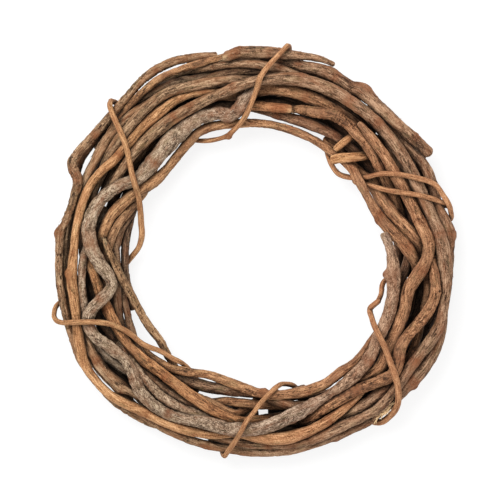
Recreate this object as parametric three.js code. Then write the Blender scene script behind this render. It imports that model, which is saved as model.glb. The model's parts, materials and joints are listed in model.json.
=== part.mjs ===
// A willow wreath: some fifty separate vines wound into a ring and held by thin ties, lying flat.
// Millimetres, +Z up. The ring lies in the XY plane and its underside rests on three small flats at z = 0.
import * as THREE from 'three';

// Driving dimensions of the ring
const BAND_MIDDLE = 165;      // radius of the middle of the band of vines
const BAND_HALF = 52;         // half the band's width, for the rounding of its cross-section
const CROWN_HEIGHT = 42;      // axis height of a top vine at the middle of the band
const WAIST_HEIGHT = 24;      // height where the ring is widest
const LOWEST_HEIGHT = 12;     // axis height of a bottom vine at the middle of the band
const LAYER_DEPTH = 9.2;      // from one layer of vines to the next
const TIE_ROOM = 6.6;         // room left under the vines for the ties that pass beneath
const CLEARANCE = 0.3;        // gap kept between neighbouring vines
const LONGEST_STEP = 22;      // between two rings of a vine's mesh
const LONGEST_TIE_STEP = 11;
const SHORTEST_STEP = 7;
const ROUTE_TOLERANCE = 0.7;  // how far a straight step may cut a curve
const VISIBLE_SIDES = 6;
const SLIM_SIDES = 5;         // of the ties and of the carrying vines of the back
const UNEVENNESS = 0.05;      // share of its thickness that a vine swells and thins along its length
const POINTS_PER_SPAN = 12;   // of the smooth curve, between two rows of a route

// How the vines settle against one another
const THICKEST_PAIR = 12;     // radii of two thick vines together
const SEARCH_SQUARE = 34;     // side of the squares in which neighbours are looked for
const NEIGHBOURHOOD = 60;     // a step farther off than this can't touch
const SIDEWAYS = 0.18;        // how freely a vine gives way sideways; straight up and down is 1
const HIDDEN_SIDEWAYS = 0.8;  // the same for a carrying vine of the back
const PRESSED_SIDEWAYS = 0.4; // share of that freedom left once the ties press on the vines
const PRESSED_UP = 0.3;
const TIE_LIFT = 14;          // a tie's route starts this far above the vines and is then lowered
const LOOSE_ROUNDS = 260;     // rounds of settling without the ties, and then with them
const TIED_ROUNDS = 200;

// Bark colours
const GREY = { color: 0x8f7a6a, roughness: 0.9, metalness: 0 };
const BROWN = { color: 0x7e604a, roughness: 0.85, metalness: 0 };
const RUSSET = { color: 0x96684a, roughness: 0.82, metalness: 0 };
const TAN = { color: 0xa9794f, roughness: 0.8, metalness: 0 };
const DARK = { color: 0x5e4534, roughness: 0.88, metalness: 0 };
const TIE = { color: 0xa57249, roughness: 0.8, metalness: 0 };

// Each vine's route is a list of [angle, radius, layer, thickness] round the ring's centre, in degrees
// from +X towards +Y and in millimetres. Layer 0 is the top one. A value left out stays as it was in
// the row before. A vine's section has an edge at its top, or a face if the vine is turned.
const VINES = [
  { name: 'vine_grey_long', bark: GREY, route: [
    [90.3, 165, 1.1, 9], [91.3, 158.5, 0.8, 11], [92.3, 153.5, 0.4, 13], [94, 149, 0],
    [96, 143, 0, 14.5], [98, 139.3, 0, 14.5], [101, 137.6, 0, 12.5], [104, 140.2, 0, 12.5],
    [107, 142, 0, 13.5], [114, 142.2, 0, 12.5], [119, 141.2, 0, 14.5], [124, 138.6, 0, 15.5],
    [132, 135.9, 0, 15.5], [138, 135.1, 0, 15], [144, 134.8, 0, 13], [148, 136.5, 0, 11.5],
    [150, 139.5], [152, 144.3, 0, 11], [156, 152.5], [160, 159.6, 0, 11.5], [164, 163.5],
    [168, 166, 0, 12.5], [172, 166.7, 0, 13], [176, 164.4], [180, 161.8, 0, 13.5], [184, 156.5],
    [188, 150.6, 0, 12.5], [191, 147], [193.8, 146.8, 0, 11.5], [196, 152, 0, 12],
    [198, 161.5, 0, 12.5], [199.8, 171, 0, 12], [201.6, 178.3, 0, 11.5], [204, 182.2],
    [207, 182, 0, 12], [210, 178.6], [214, 173.8, 0, 11.5], [218, 169.6, 0, 10.5], [221, 168.7, 0, 10],
    [224, 171], [227, 175.3, 0, 12], [230, 179.8, 0, 11.5], [234, 183, 0, 12], [240, 184.8, 0, 11],
    [246, 182.8, 0, 9.5], [251, 179.6, 0, 10.5], [256, 177.7, 0, 12], [262, 179.2, 0, 12.5],
    [268, 178, 0, 13], [274, 175.3, 0, 12.5], [280, 170.7], [286, 167, 0, 13.5], [290, 164.7, 0, 10.5],
    [294, 163.2, 0, 8], [298, 162, 0, 7.8], [302, 161.3, 0, 9.5], [306, 160.2, 0, 11.5], [311, 159.2],
    [316, 157.8, 0, 11], [320, 154.8, 0, 12], [326, 150.4, 0, 13], [334, 148], [340, 145.5, 0, 12],
    [346, 142.8], [352, 140.2], [356, 138.3, 0, 11], [360, 135.8, 0, 9.5], [364, 132.8, 0, 8],
    [368, 130.5, 0.2, 7.5],
  ] },
  { name: 'vine_tan_long', bark: TAN, route: [
    [94, 165, 2.2, 8.5], [101, 164.5, 1.2, 9], [106, 163.8, 0.2, 8.5], [110, 167], [114, 169.6],
    [118, 169.2, 0, 9], [124, 167.3, 0, 10], [132, 165.9], [140, 164.7, 0, 9], [144, 165.4],
    [148, 167.2, 0, 8.5], [152, 171.2, 0, 8], [156, 174.8], [160, 176.6, 0, 8.5], [165, 178, 0, 8.8],
    [172, 179, 0, 8], [180, 180.6], [186, 183, 0, 9], [190, 185, 0, 9.5], [197, 187.2, 0, 9.2],
    [200, 189, 0, 8.8], [204, 192.6], [208, 197.5, 0, 10], [212, 202], [216, 204.4, 0, 9], [220, 205],
    [224, 204.6], [228, 202.5, 0, 9.5], [231, 199, 0, 9], [236, 195.5], [244, 193.5], [252, 191.5, 0.2],
    [259, 188.5, 0.9, 8.5], [264.5, 185.5, 1.3, 8], [268.5, 186.3, 0.5, 8.5], [272, 187.8, 0, 10],
    [277, 189.2, 0, 11.5], [282, 189, 0, 11.8], [288, 186.8, 0, 10.5], [294, 183, 0, 9.5],
    [299, 179.9, 0.1, 8.5], [303, 178.3, 0.4, 7], [308, 176, 1.2, 6.5], [314, 173, 1.9],
    [322, 170, 2.3],
  ] },
  { name: 'vine_brown_long', bark: BROWN, route: [
    [164, 163, 2.1, 8], [158, 159, 1.4], [152, 156, 0.6, 8.5], [146, 155.2, 0], [138, 154.8, 0, 9.5],
    [126, 154.3, 0, 10.3], [116, 154.6, 0, 10.6], [110, 155.5], [106, 157, 0, 10], [102, 158.6],
    [98, 161.5], [94, 164.2, 0, 9.2], [90, 167, 0, 9.8], [86, 169.3, 0, 10.5], [80, 173, 0, 11],
    [76, 174.8, 0, 12], [70, 176], [64, 176], [56, 175.8], [46, 175.3], [36, 174.5], [28, 173.8],
    [20, 174.5], [14, 176.8], [8, 181], [4, 184], [0, 186.5, 0, 13], [-4, 188.8], [-8, 191.2, 0, 12],
    [-12, 193.8, 0, 10.5], [-16, 195.3], [-20, 196.7, 0, 12], [-24, 198, 0, 13], [-28, 196, 0, 11],
    [-32, 194.5, 0, 10], [-38, 193.6, 0, 9.8], [-42, 194.4], [-46, 197.5, 0, 9.5], [-50, 199.4],
    [-54, 199.4, 0, 9], [-59, 197.4, 0, 8], [-64, 196, 0, 9], [-70, 196.5, 0, 10],
    [-75, 197.8, 0.1, 8.5], [-82, 197.2, 0.2], [-88, 195], [-94, 194.4, 0.4, 8.8],
    [-102, 192.5, 1.4, 8.5], [-114, 190, 2.2, 8], [-126, 185, 2.6],
  ] },
  { name: 'vine_top_edge', bark: BROWN, route: [
    [124, 184, 2.1, 8], [112, 188, 1.8], [100, 190, 1.6], [90, 190, 1.3], [84, 190, 0.7, 6.5],
    [80, 189.6, 0.3, 7.5], [76, 189.3, 0, 10], [72, 190.2, 0, 12.5], [66.5, 191.3, 0, 13.5],
    [63.5, 189.3, 0, 11.5], [60, 188.6, 0, 11.5], [57, 190.2], [50, 188.8], [42, 189.3, 0, 11],
    [38, 190.7], [34, 194], [30, 198], [28.3, 199.5, 0, 10],
  ] },
  { name: 'vine_right_edge', bark: BROWN, route: [
    [52, 181, 2.3, 8], [46, 181.5, 1.8, 9], [38, 183.5, 1.2], [34, 185, 1, 7.5], [30, 186.3, 0.8, 9],
    [27, 188.8, 0.5, 11], [24, 189.7, 0.4, 11.5], [20, 188.6, 0.3, 11], [15, 188.5], [11, 190.3],
    [8, 192.6, 0.3, 11.5], [5, 194.8], [1, 195.3, 0.4, 8.5], [-4, 195.2, 0.8, 8], [-10, 196, 1],
    [-16, 197, 1.1], [-20, 200, 0.8, 9], [-24, 203.5, 0.5, 10.5], [-28, 205.3, 0.3, 12],
    [-32, 205.7, 0.2, 12.5], [-36, 205.3, 0.2, 13], [-40, 204.6, 0.3, 12], [-44, 204, 0.3, 10.5],
    [-48, 204.5, 0.4, 10], [-52, 205.2, 0.5, 8], [-55.3, 206.3, 0.6, 5],
  ] },
  { name: 'branch_top_short', bark: BROWN, turned: true, route: [
    [99.6, 193.2, 0, 8.5], [97, 195.5, 0, 10.5], [94, 196.8, 0, 12.3], [88, 195.8, 0.3, 11.5],
    [82, 196, 0.3, 10.3], [78, 196.4, 0.3, 8.5], [74, 197.8, 0.2, 6.5], [70, 199, 0.3, 5.2],
    [66.5, 198.6, 0.6, 4.6],
  ] },
  { name: 'vine_top_a', bark: BROWN, route: [
    [140, 181, 2.4, 7.5], [126, 187, 2, 8], [114, 186.5, 1.2], [108, 185.5, 0.6, 9],
    [97, 185.4, 0.3, 8], [88, 185.2], [82, 183, 0.3, 9], [78, 182.2, 0.5, 7.5], [74, 181.5, 1, 6.5],
    [66, 180.5, 1.9, 7], [58, 181.5, 2.7],
  ] },
  { name: 'vine_top_b', bark: DARK, route: [
    [148, 166, 2.4, 7], [134, 170, 2.2], [120, 174, 1.6], [108, 177, 0.9, 8], [98, 177.8, 0.4, 9.5],
    [91, 178.2, 0.3, 10], [85, 178.5, 0.5, 9], [80, 177.5, 1.3, 8], [72, 173, 2], [60, 167, 2.4],
    [44, 168, 2.8, 7],
  ] },
  { name: 'vine_top_c', bark: BROWN, route: [
    [68, 168, 2.4, 8.5], [80, 170, 1.9, 9], [92, 171.2, 0.8, 9.5], [98, 171.8, 0.4],
    [104, 171.8, 0.3, 10], [112, 176], [120, 179.3, 0.3, 9.5], [128, 177.6, 0.3, 10], [136, 174.8],
    [144, 173.6, 0.6, 9], [150, 171, 1.3], [160, 170, 2, 8.5], [174, 174, 2.5],
  ] },
  { name: 'vine_left_a', bark: DARK, route: [
    [84, 186, 2.2, 7.5], [96, 182, 1.8, 8], [108, 182, 0.8, 8.5], [114, 187], [118, 188.5],
    [124, 190, 0.6], [134, 192.2, 0.7, 7.5], [142, 193, 1.1], [149, 194.6, 1.1, 7],
    [154, 195.5, 1.5, 6.5], [160, 190, 2.4],
  ] },
  { name: 'vine_left_b', bark: RUSSET, route: [
    [94, 193, 1.8, 6], [102, 190, 1.2, 6.5], [112, 191, 0.4], [118, 193.5], [128, 190.5, 0.6],
    [138, 186.5, 1.8], [148, 184, 2.4, 6],
  ] },
  { name: 'vine_left_edge', bark: BROWN, route: [
    [101, 198, 1.8, 8], [108, 203, 1.3, 8.5], [115, 206, 0.8], [121, 205.2, 0.4], [126, 202, 0.1],
    [130, 198.9, 0, 8], [135, 197.3], [141, 196.8, 0, 8.3], [148, 198.9, 0, 8.5], [152, 201.3, 0, 9.5],
    [154, 202, 0, 10.5], [155.4, 199.3], [156.6, 194.5], [158.2, 190], [160.5, 188, 0, 8.5],
    [165, 188, 0, 7.5], [169, 189.4], [172, 191.8], [175, 194.6, 0, 8.3], [178, 195],
    [182, 195.7, 0, 7], [188, 197.4, 0, 7.5], [196, 198.6, 0, 8], [202, 200, 0.2],
    [207, 202.2, 0.4, 8.3], [212, 205.2, 0.7], [218, 206, 0.9], [226, 206], [234, 203, 1.3],
    [242, 200, 1.8, 8], [252, 197, 2.3],
  ] },
  { name: 'vine_left_c', bark: BROWN, route: [
    [228, 196, 2.5, 7], [216, 198, 2.2], [206, 197.5, 1.7], [198, 196, 1.1, 6.5], [190, 194, 0.6],
    [184, 192.6, 0.4, 6], [176, 190, 0.3], [170, 187.4], [163, 184.8, 0.3, 7], [158, 184.4],
    [154, 183.4, 0.3, 7.8], [150, 183, 0.3, 9], [146, 184.2, 0.3, 11], [138, 184.3],
    [130, 183, 0.6, 10], [122, 181, 1.6, 8.5], [108, 178, 2.3, 8],
  ] },
  { name: 'vine_inner_long', bark: RUSSET, route: [
    [202, 163, 2.9, 9], [194, 162.5, 2.8], [186, 161, 2.3, 9.5], [180, 160, 1.6, 10],
    [175, 156.5, 0.8, 11], [171, 153, 0.5, 12], [167, 148.6, 0.4], [163, 143],
    [159.5, 137.8, 0.3, 11.5], [156, 133.6, 0.3, 11], [153, 129.2], [150, 125], [146, 122.2, 0.3, 10.5],
    [142, 120.6, 0.3, 9], [138, 119.6, 0.3, 8], [134, 119.6], [130, 121.8], [126, 124, 0.3, 8.3],
    [122, 126], [117, 129.8, 0.4, 8.8], [112, 131, 0.4, 8.5], [104, 129.3, 0.3, 8], [96, 127.3],
    [86, 126.7, 0.3, 8.2], [76, 125.7], [68, 125.3], [60, 125.6, 0.4], [50, 126, 0.7, 8.5],
    [46, 127.3, 0.9], [42, 128.4, 0.7, 9], [36, 127.6, 0.3], [30, 126.5, 0.3, 8], [24, 126.5, 0.4],
    [18, 128.2, 0.4, 9], [13, 131.3, 0.4, 11], [8, 137.3, 0.4, 12.5], [4, 145.5], [0, 153.8, 0.7, 12],
    [-3, 159, 1.4, 11], [-7, 162, 2.2, 10], [-12, 162.5, 2.9, 9], [-22, 165, 3.1, 8.5],
    [-34, 166.5, 3.2, 8],
  ] },
  { name: 'vine_ribbed', bark: RUSSET, route: [
    [76, 142.5, 2.1, 7.5], [73, 143.8, 1.2, 8.5], [70, 145.4, 0.4, 9], [66, 147.7, 0, 9.5],
    [61, 152.8, 0, 10.3], [57, 154.8], [52, 154.3], [46, 152.5, 0, 11], [40, 150.2, 0, 11], [36, 147.9],
    [30, 146], [24, 146.8, 0.2], [16, 149.5, 0.7, 9.5], [10, 152.5, 1.2, 9], [2, 156, 2],
    [-10, 158, 2.6, 8.5],
  ] },
  { name: 'vine_russet_upper', bark: RUSSET, route: [
    [51, 161.5, 0.2, 5], [48, 160.6, 0, 8], [40, 159.3, -0.1, 9.8], [35, 158.3],
    [30, 157.7, -0.1, 10.5], [24, 158.2], [19, 160.6, 0, 11.5], [14, 163.4], [8, 167.8, -0.2, 11.5],
    [2, 172.4, -0.3, 12], [-1, 172.3], [-4, 169.6], [-7, 166], [-10, 162], [-13, 158.4, -0.1, 11.8],
    [-17, 158.2], [-22, 160.4], [-28, 162.2, 0, 11.8], [-32, 162.8, 0, 10], [-36, 164.5],
    [-39, 167, 0, 11.5], [-42, 169.6, 0, 12], [-46, 168.4, 0.2, 9.8], [-50, 167.5, 0.7, 8],
    [-56, 166.5, 1.4], [-66, 165, 2.1], [-78, 164, 2.5],
  ] },
  { name: 'vine_russet_lower', bark: RUSSET, route: [
    [58, 136.5, 2.4, 8], [52, 135.5, 2, 8.5], [45, 134.5, 1.5, 9], [38, 131, 0.9, 11],
    [30, 134, 0.2, 12], [22, 137], [16, 142], [10, 148.5, 0.1], [6, 156.5, 0.2], [2, 162.5, 0.6, 11.5],
    [-3, 168.3, 1.3, 10.5], [-7, 173, 1.5, 9], [-12, 176.5, 1.3, 8], [-18, 178.5, 1.3, 7.5],
    [-25, 182, 1.7], [-31, 186.5, 2], [-37, 190, 2.3],
  ] },
  { name: 'vine_wavy', bark: RUSSET, route: [
    [24, 168, 2.4, 9], [12, 174, 2, 9.5], [3, 176.5, 1.5, 10], [-3, 176.5, 1.1, 10], [-6.5, 178.5, 0.5],
    [-9, 181.4, 0.1], [-12, 184.4, 0, 11], [-15.5, 185.3], [-18, 183.5], [-21, 180.9, 0, 10.5],
    [-25, 178], [-28.5, 175.3, 0, 10], [-31.3, 173], [-33.5, 173.6, 0, 11], [-36, 177.2, 0, 11.5],
    [-38.5, 181], [-41, 184.3], [-43, 184], [-45, 181.2, 0, 10.5], [-47.5, 178], [-50, 175],
    [-53, 172.8, 0, 10], [-57, 171.5], [-61, 170.9], [-65, 171.4], [-68, 173.2, 0.1],
    [-71, 176.3, 0.4, 9], [-74, 176.5, 1.2, 8], [-78, 174, 2.1], [-86, 170, 2.6], [-100, 168, 2.8],
  ] },
  { name: 'branch_lower_right', bark: BROWN, route: [
    [-44.5, 191.5, 0.6, 9], [-46.5, 190.8, 0.3, 11.5], [-50, 190.6, 0.2, 12], [-54, 189.3, 0.3, 11.8],
    [-58, 188.5, 0.4, 10.5], [-62, 188.4, 0.8, 8], [-66, 189, 1.4, 7], [-74, 189.5, 1.9],
    [-84, 188, 2.1], [-96, 186.5, 2.2], [-108, 184, 2.4],
  ] },
  { name: 'vine_bottom_edge', bark: BROWN, route: [
    [-28, 196, 2.8, 7.5], [-36, 198, 2.4], [-44, 201.5, 2], [-50, 205.3, 1.5], [-55, 207.2, 1.1, 8],
    [-60, 205.5, 0.9], [-66, 204, 0.8, 8], [-74, 202.3, 1, 8.3], [-80, 202.2], [-86, 201], [-92, 200],
    [-98, 199, 1], [-110, 199.5], [-122, 199, 1.3, 8], [-136, 196, 1.9], [-150, 194, 2.4],
  ] },
  { name: 'vine_low_left_a', bark: RUSSET, route: [
    [-74, 166, 3, 8], [-82, 167, 2.8], [-89, 169, 2.2, 8.5], [-94, 171, 1.4, 9], [-98, 169.6, 0.9, 9.5],
    [-102, 167.3, 0.7, 10.5], [-106, 164, 0.7, 11], [-110, 160.6], [-114, 158.2],
    [-119, 155.8, 0.7, 10.5], [-125, 153.9, 0.7, 10], [-131, 154.6], [-138, 156.2, 0.8], [-146, 157],
    [-158, 156.5, 0.9], [-168, 157], [-175, 159, 1.3, 9.5], [-182, 161.5, 1.9, 9], [-194, 164, 2.4],
  ] },
  { name: 'vine_low_left_b', bark: GREY, route: [
    [-88, 174, 2.4, 7.5], [-98, 172.5, 1.6], [-105, 172.5, 1, 8], [-111, 173.5, 0.7, 8.5],
    [-117, 174, 0.7, 9.3], [-123, 172.8, 0.7, 10], [-129, 170.6, 0.8, 9], [-134, 168.2, 1.2, 8.5],
    [-140, 165.5, 1.8, 8], [-146, 164, 2.3],
  ] },
  { name: 'vine_low_left_c', bark: DARK, route: [
    [-98, 160, 2.2, 7.5], [-106, 164.5, 1.6, 8], [-114, 164.5, 1.3], [-122, 163], [-134, 161, 1.4],
    [-146, 166, 2.2], [-160, 170, 2.4, 7.5],
  ] },
  { name: 'branch_lower_left', bark: BROWN, turned: true, route: [
    [-122, 185, 1.9, 8], [-128, 186, 1.1, 8.5], [-132, 188.2, 0.5, 10], [-134.6, 190.8, 0.3, 13],
    [-137.5, 191.8, 0.3, 13.5], [-141, 192.2, 0.3, 11.5], [-146, 192.2, 0.4, 8.5],
    [-151, 190.2, 0.7, 7], [-155.5, 187.8, 1.3, 6.5], [-164, 184, 2.1, 7], [-178, 184, 2.5],
  ] },
  { name: 'vine_low_left_d', bark: GREY, route: [
    [-116, 180, 2.1, 9], [-128, 174, 1.7, 9.5], [-134, 172.5, 1.2, 10.5], [-138, 175.2, 1],
    [-142, 179.5], [-146, 183, 1], [-150, 185, 1.2, 10], [-158, 181.5, 1.9, 9.5], [-168, 177, 2.4, 9],
  ] },
  { name: 'branch_left_frayed', bark: RUSSET, route: [
    [-112, 156, 2, 7], [-119, 150, 1.5], [-125, 144.3, 0.9], [-129.5, 139.3, 0.5, 6.8],
    [-134, 134.4, 0.1, 7], [-139, 132.8, 0, 7.8], [-146, 131.6, 0, 8.3], [-153, 131.1], [-160, 132.4],
    [-166, 135.2, 0, 8], [-171, 138.2, 0, 7], [-175, 141, 0, 6.3], [-179, 145.4],
    [-182, 149.3, 0.2, 6.6], [-184, 151.2, 0.3],
  ] },
  { name: 'vine_left_dark_a', bark: DARK, route: [
    [-112, 158, 2.2, 7.5], [-124, 157, 1.9], [-133, 154.5, 1.5, 7], [-139, 151, 1.2, 6],
    [-145, 146.5, 1, 6], [-150, 143.3], [-154, 141, 1, 6], [-160, 138.8, 0.9, 6.5],
    [-169, 138.2, 0.9, 8], [-180, 140.5, 1.4], [-192, 146, 2, 7.5],
  ] },
  { name: 'vine_left_dark_b', bark: DARK, route: [
    [-136, 158, 2.1, 7.5], [-146, 155, 1.3], [-152, 153.3, 0.9], [-155, 150.8], [-158, 148, 0.7, 8],
    [-162, 145.3], [-168, 141, 0.6, 7.5], [-173, 139, 0.7, 7], [-178, 139, 0.7],
    [-184, 137.8, 0.6, 6.5], [-188, 135.6], [-193, 131.3, 0.9], [-200, 127.5, 1.4],
  ] },
  { name: 'vine_left_inner_a', bark: RUSSET, route: [
    [194, 156, 2.4, 8], [184, 151, 1.8], [178, 147.5, 1.1], [174, 144.6, 0.7], [170, 141.6, 0.6, 8],
    [166, 137.1, 0.6, 7.8], [161, 131.6, 0.8, 7], [155, 127, 1.3, 7], [148, 127, 1.8], [141, 131, 2],
    [130, 138, 2.2, 8], [118, 141, 2.3], [106, 145, 2.5, 7.5],
  ] },
  { name: 'vine_left_inner_b', bark: DARK, route: [
    [206, 139, 1.7, 6], [198, 135, 1.4, 6.5], [190, 134, 1, 7.5], [183, 132.6, 0.7, 8.3],
    [176, 131.1, 0.6, 8], [168, 129.6, 0.8, 7], [160, 129, 1.5, 6], [150, 131, 2.1],
  ] },
  { name: 'vine_left_grey_low', bark: GREY, route: [
    [206, 184, 2, 7], [199, 181.3, 1.1], [193, 178.4, 0.8, 7.3], [188, 175.8], [184, 173.3, 0.8, 7.8],
    [180, 169.5, 1.1], [174, 163, 1.8, 8], [164, 158, 2.4],
  ] },
  { name: 'vine_top_low', bark: RUSSET, route: [
    [120, 162, 2.9, 8.5], [112, 161, 2.7], [104, 158.5, 2.4, 9], [96, 158.5, 1.7, 10],
    [90, 161.8, 1.1, 10.5], [85, 164, 0.8, 11.3], [78, 164.4, 0.7, 11.5], [70, 163.8, 0.7, 12],
    [64, 162.9, 0.8, 11.5], [57, 161.5, 1.1, 11], [49, 163, 1.9, 10], [38, 165.5, 2.5],
    [24, 167.5, 2.9, 9],
  ] },
  { name: 'vine_top_dark', bark: DARK, route: [
    [126, 154, 2.2, 8], [114, 150, 1.3, 9], [105, 150.2, 1.3], [98, 151.8, 1.9], [92, 151.5, 2.4, 8.5],
    [82, 151, 2.6, 8], [72, 148, 2.7], [62, 143, 2.7], [52, 139, 2.7, 7.5],
  ] },
  { name: 'branch_top_frayed', bark: RUSSET, route: [
    [94.5, 145.5, 1.2, 8.4], [91, 144.6, 0.8], [88, 144, 0.6, 8.6], [84, 143.7, 0.5, 10],
    [80, 143.9, 0.4, 11], [75.3, 144.9, 0.4, 9.5],
  ] },
  { name: 'vine_top_inner', bark: DARK, route: [
    [94, 146, 1.3, 7.6], [90, 143.9, 1.05], [86, 141.5, 1.2], [80, 139.3, 1.4, 8.5],
    [74, 138.5, 1.2, 9.5], [68, 138.6, 0.9, 10.5], [60, 138.8, 0.9, 9.5], [56, 139.3, 1, 8.5],
    [48, 139.3, 1.4, 9], [40, 140, 1.8], [32, 141, 2.1], [22, 142, 2.4],
  ] },
  { name: 'vine_bottom_inner', bark: RUSSET, route: [
    [-140, 158, 2, 8], [-132, 154, 1.3], [-126, 149.5, 0.6], [-122, 145.3, 0.2], [-118, 140.8, 0],
    [-114, 137], [-108, 134.4, 0, 8], [-102, 135.4, 0, 8.5], [-96, 138.2, 0, 9.5], [-90, 142.6, 0, 8.9],
    [-84, 146, 0, 8.8], [-78, 147.8, 0, 8.5], [-70, 150, 0, 9.5], [-62, 150.5, 0, 9.8],
    [-57, 150, 0, 9.8], [-53.3, 148.4, 0, 9.3], [-50.5, 149.8, 0.1, 8.3], [-46, 150, 0.4, 7.5],
    [-40, 148, 0.8, 6.5], [-34, 147.5, 1.2, 6], [-24, 150, 1.8], [-10, 152, 2.3],
  ] },
  { name: 'vine_bottom_red', bark: RUSSET, route: [
    [-58, 167, 3, 7.5], [-64, 165, 2.8], [-70, 162.5, 2.4], [-76, 158.5, 1.9], [-84, 154.5, 1.5, 8.5],
    [-91, 151.8, 1.1, 9], [-97, 151.6], [-102, 152.8, 1.1, 8], [-106, 157.2, 1.6, 7.5],
    [-112, 160, 2.1], [-124, 164, 2.4], [-138, 170, 2.5],
  ] },
  { name: 'vine_bottom_red_thin', bark: RUSSET, route: [
    [-80, 150, 2.2, 6.5], [-86, 152.5, 1.8], [-89.5, 157, 1.3, 7], [-92.5, 162.6, 0.9],
    [-95.5, 166.9, 0.7], [-98, 166.6, 0.7], [-101.5, 162.4, 0.9], [-105.5, 159.6, 1.3, 6.5],
    [-112, 158.5, 1.9], [-122, 160, 2.3],
  ] },
  { name: 'vine_bottom_dark_a', bark: DARK, route: [
    [-70, 151, 2.4, 7], [-82, 149.5, 1.8], [-92, 146.8, 1.3, 7.5], [-99, 145.5, 0.9, 9],
    [-104, 146.2, 0.9, 11], [-110, 147.8, 0.9, 11.5], [-116, 149.8, 1.1, 10.5], [-122, 152, 1.4, 9],
    [-130, 156, 2.2, 7.5],
  ] },
  { name: 'branch_bottom_stub', bark: BROWN, route: [
    [-62, 168, 2.5, 8.5], [-70, 165.5, 2, 9], [-76, 162, 1.4, 10], [-80, 155.5, 1.1],
    [-85, 149.5, 1.2, 9],
  ] },
  { name: 'vine_bottom_dark_b', bark: DARK, route: [
    [-48, 167, 2.5, 7], [-58, 166, 2], [-64, 164.5, 1.4], [-68, 162.3, 1.1, 6.5], [-71.5, 159, 1],
    [-75.5, 155.8, 1.2], [-81, 154, 1.7], [-90, 158, 2.4, 7], [-100, 163, 2.7, 6.5],
  ] },
  { name: 'vine_right_dark', bark: DARK, route: [
    [24, 158, 2.3, 8], [12, 160, 2, 8.5], [2, 158, 1.6, 8.5], [-4, 154.5, 1.2, 9], [-12, 151, 1.4],
    [-22, 156, 1.9], [-36, 160, 2.3, 8.5], [-50, 158, 2.7],
  ] },
  { name: 'stub_thin', bark: TAN, route: [
    [49.5, 153, 1.8, 6], [50, 146, 1, 6.5], [50.8, 136, 0.6, 6.8], [51.3, 127.5, 0.7, 6.5],
  ] },
  { name: 'stub_thick', bark: TAN, route: [
    [39.5, 149, 1.9, 8], [41.3, 142, 0.9], [43.5, 134, -0.3, 8.8], [46.5, 127, -0.5],
    [49.5, 118.5, -0.2, 8.5],
  ] },

  // The carrying vines of the back. Three of them touch down, each at its own resting place.
  { name: 'under_rest_top', bark: BROWN, rest: 90, route: [
    [20, 168, 1.9, 10], [40, 172, 2.7], [60, 171.5, 3.2, 11], [90, 170.5, 3.6, 12], [108, 169, 3.3],
    [118, 167, 3.2, 11], [128, 164, 3, 10], [136, 162.5, 2.8], [150, 163, 2.6], [164, 163, 2.5, 9],
  ] },
  { name: 'under_rest_left', bark: DARK, rest: 212, route: [
    [140, 178, 2.1, 10], [152, 176, 2.6], [166, 173, 2.9, 11], [184, 169, 3.3], [212, 172, 3.6, 12],
    [224, 174.5, 3.4, 12], [236, 176, 3.2, 11], [256, 172, 2.7, 10], [272, 167, 2],
  ] },
  { name: 'under_rest_right', bark: BROWN, rest: 333, route: [
    [262, 180, 2.2, 10], [284, 178, 2.8], [302, 177.5, 3.1, 11], [316, 176.5, 3.3, 12],
    [333, 175, 3.6, 12], [358, 171, 3.2, 11], [378, 174, 2.7], [394, 179, 2, 10],
  ] },
  { name: 'under_outer_top', bark: DARK, route: [
    [28, 190, 1.6, 9], [48, 188.5, 2.2], [60, 186.5, 2.4, 9.5], [72, 186, 2.5, 9.5], [86, 186.3],
    [100, 186, 2.6], [114, 187], [126, 187.5, 2.4], [138, 187, 2.5, 9], [148, 186, 2.6, 8.5],
  ] },
  { name: 'under_outer_left', bark: BROWN, route: [
    [158, 184, 2.6, 9], [176, 187, 2.8], [200, 188.5, 2.6, 10], [216, 184.5, 2.5, 10.5], [228, 184.8],
    [238, 189, 2.5, 10], [246, 190.5, 2.6, 9.5], [262, 188, 2.8, 9],
  ] },
  { name: 'under_outer_right', bark: DARK, route: [
    [256, 195.5, 2.5, 8.5], [268, 195, 2.3, 9], [286, 192, 2.3, 9.5], [300, 188.3, 2.5, 10],
    [312, 187.5], [328, 186.8, 2.4, 11], [340, 188], [346, 187.3], [358, 185.5, 2.5, 10.5],
    [372, 184.5, 2.6, 9.5], [386, 182.5, 2.7], [396, 181, 2.8, 9],
  ] },
  { name: 'under_inner_top', bark: DARK, route: [
    [4, 158, 2.8, 8.5], [24, 152, 2.8, 9], [38, 146.8], [50, 146.8], [62, 148.5, 2.9],
    [78, 152, 3.1, 9], [92, 152], [104, 149.5, 2.9], [118, 147, 2.6], [129, 146.5, 2.5, 8],
    [136, 144.5, 2.6], [143, 141, 2.7], [152, 141, 2.7, 8.5], [162, 141.5, 2.7, 9], [170, 142, 2.8],
  ] },
  { name: 'under_inner_left', bark: BROWN, route: [
    [134, 152, 2.6, 8], [142, 149, 2.5, 8.5], [150, 148, 2.5, 9], [158, 149.6, 2.5], [168, 151],
    [184, 152, 2.4], [206, 160, 2.7, 9.5], [226, 161.5, 2.1], [236, 162, 2.2], [250, 161, 2.8, 9],
    [262, 160, 2.8, 8.5],
  ] },
  { name: 'under_inner_right', bark: DARK, route: [
    [274, 162, 3.1, 8.5], [286, 163.5, 3, 9], [300, 166, 2.9, 9.5], [318, 164.5, 2.8],
    [330, 162.5, 2.7, 10], [344, 153, 2.4, 9], [356, 148.5, 2.5, 9.5], [364, 146.5, 2.6], [372, 141.5],
    [380, 136.5], [388, 133, 2.6, 8.5], [396, 134.5, 2.5], [404, 136.5, 2.4],
  ] },
];

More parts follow.
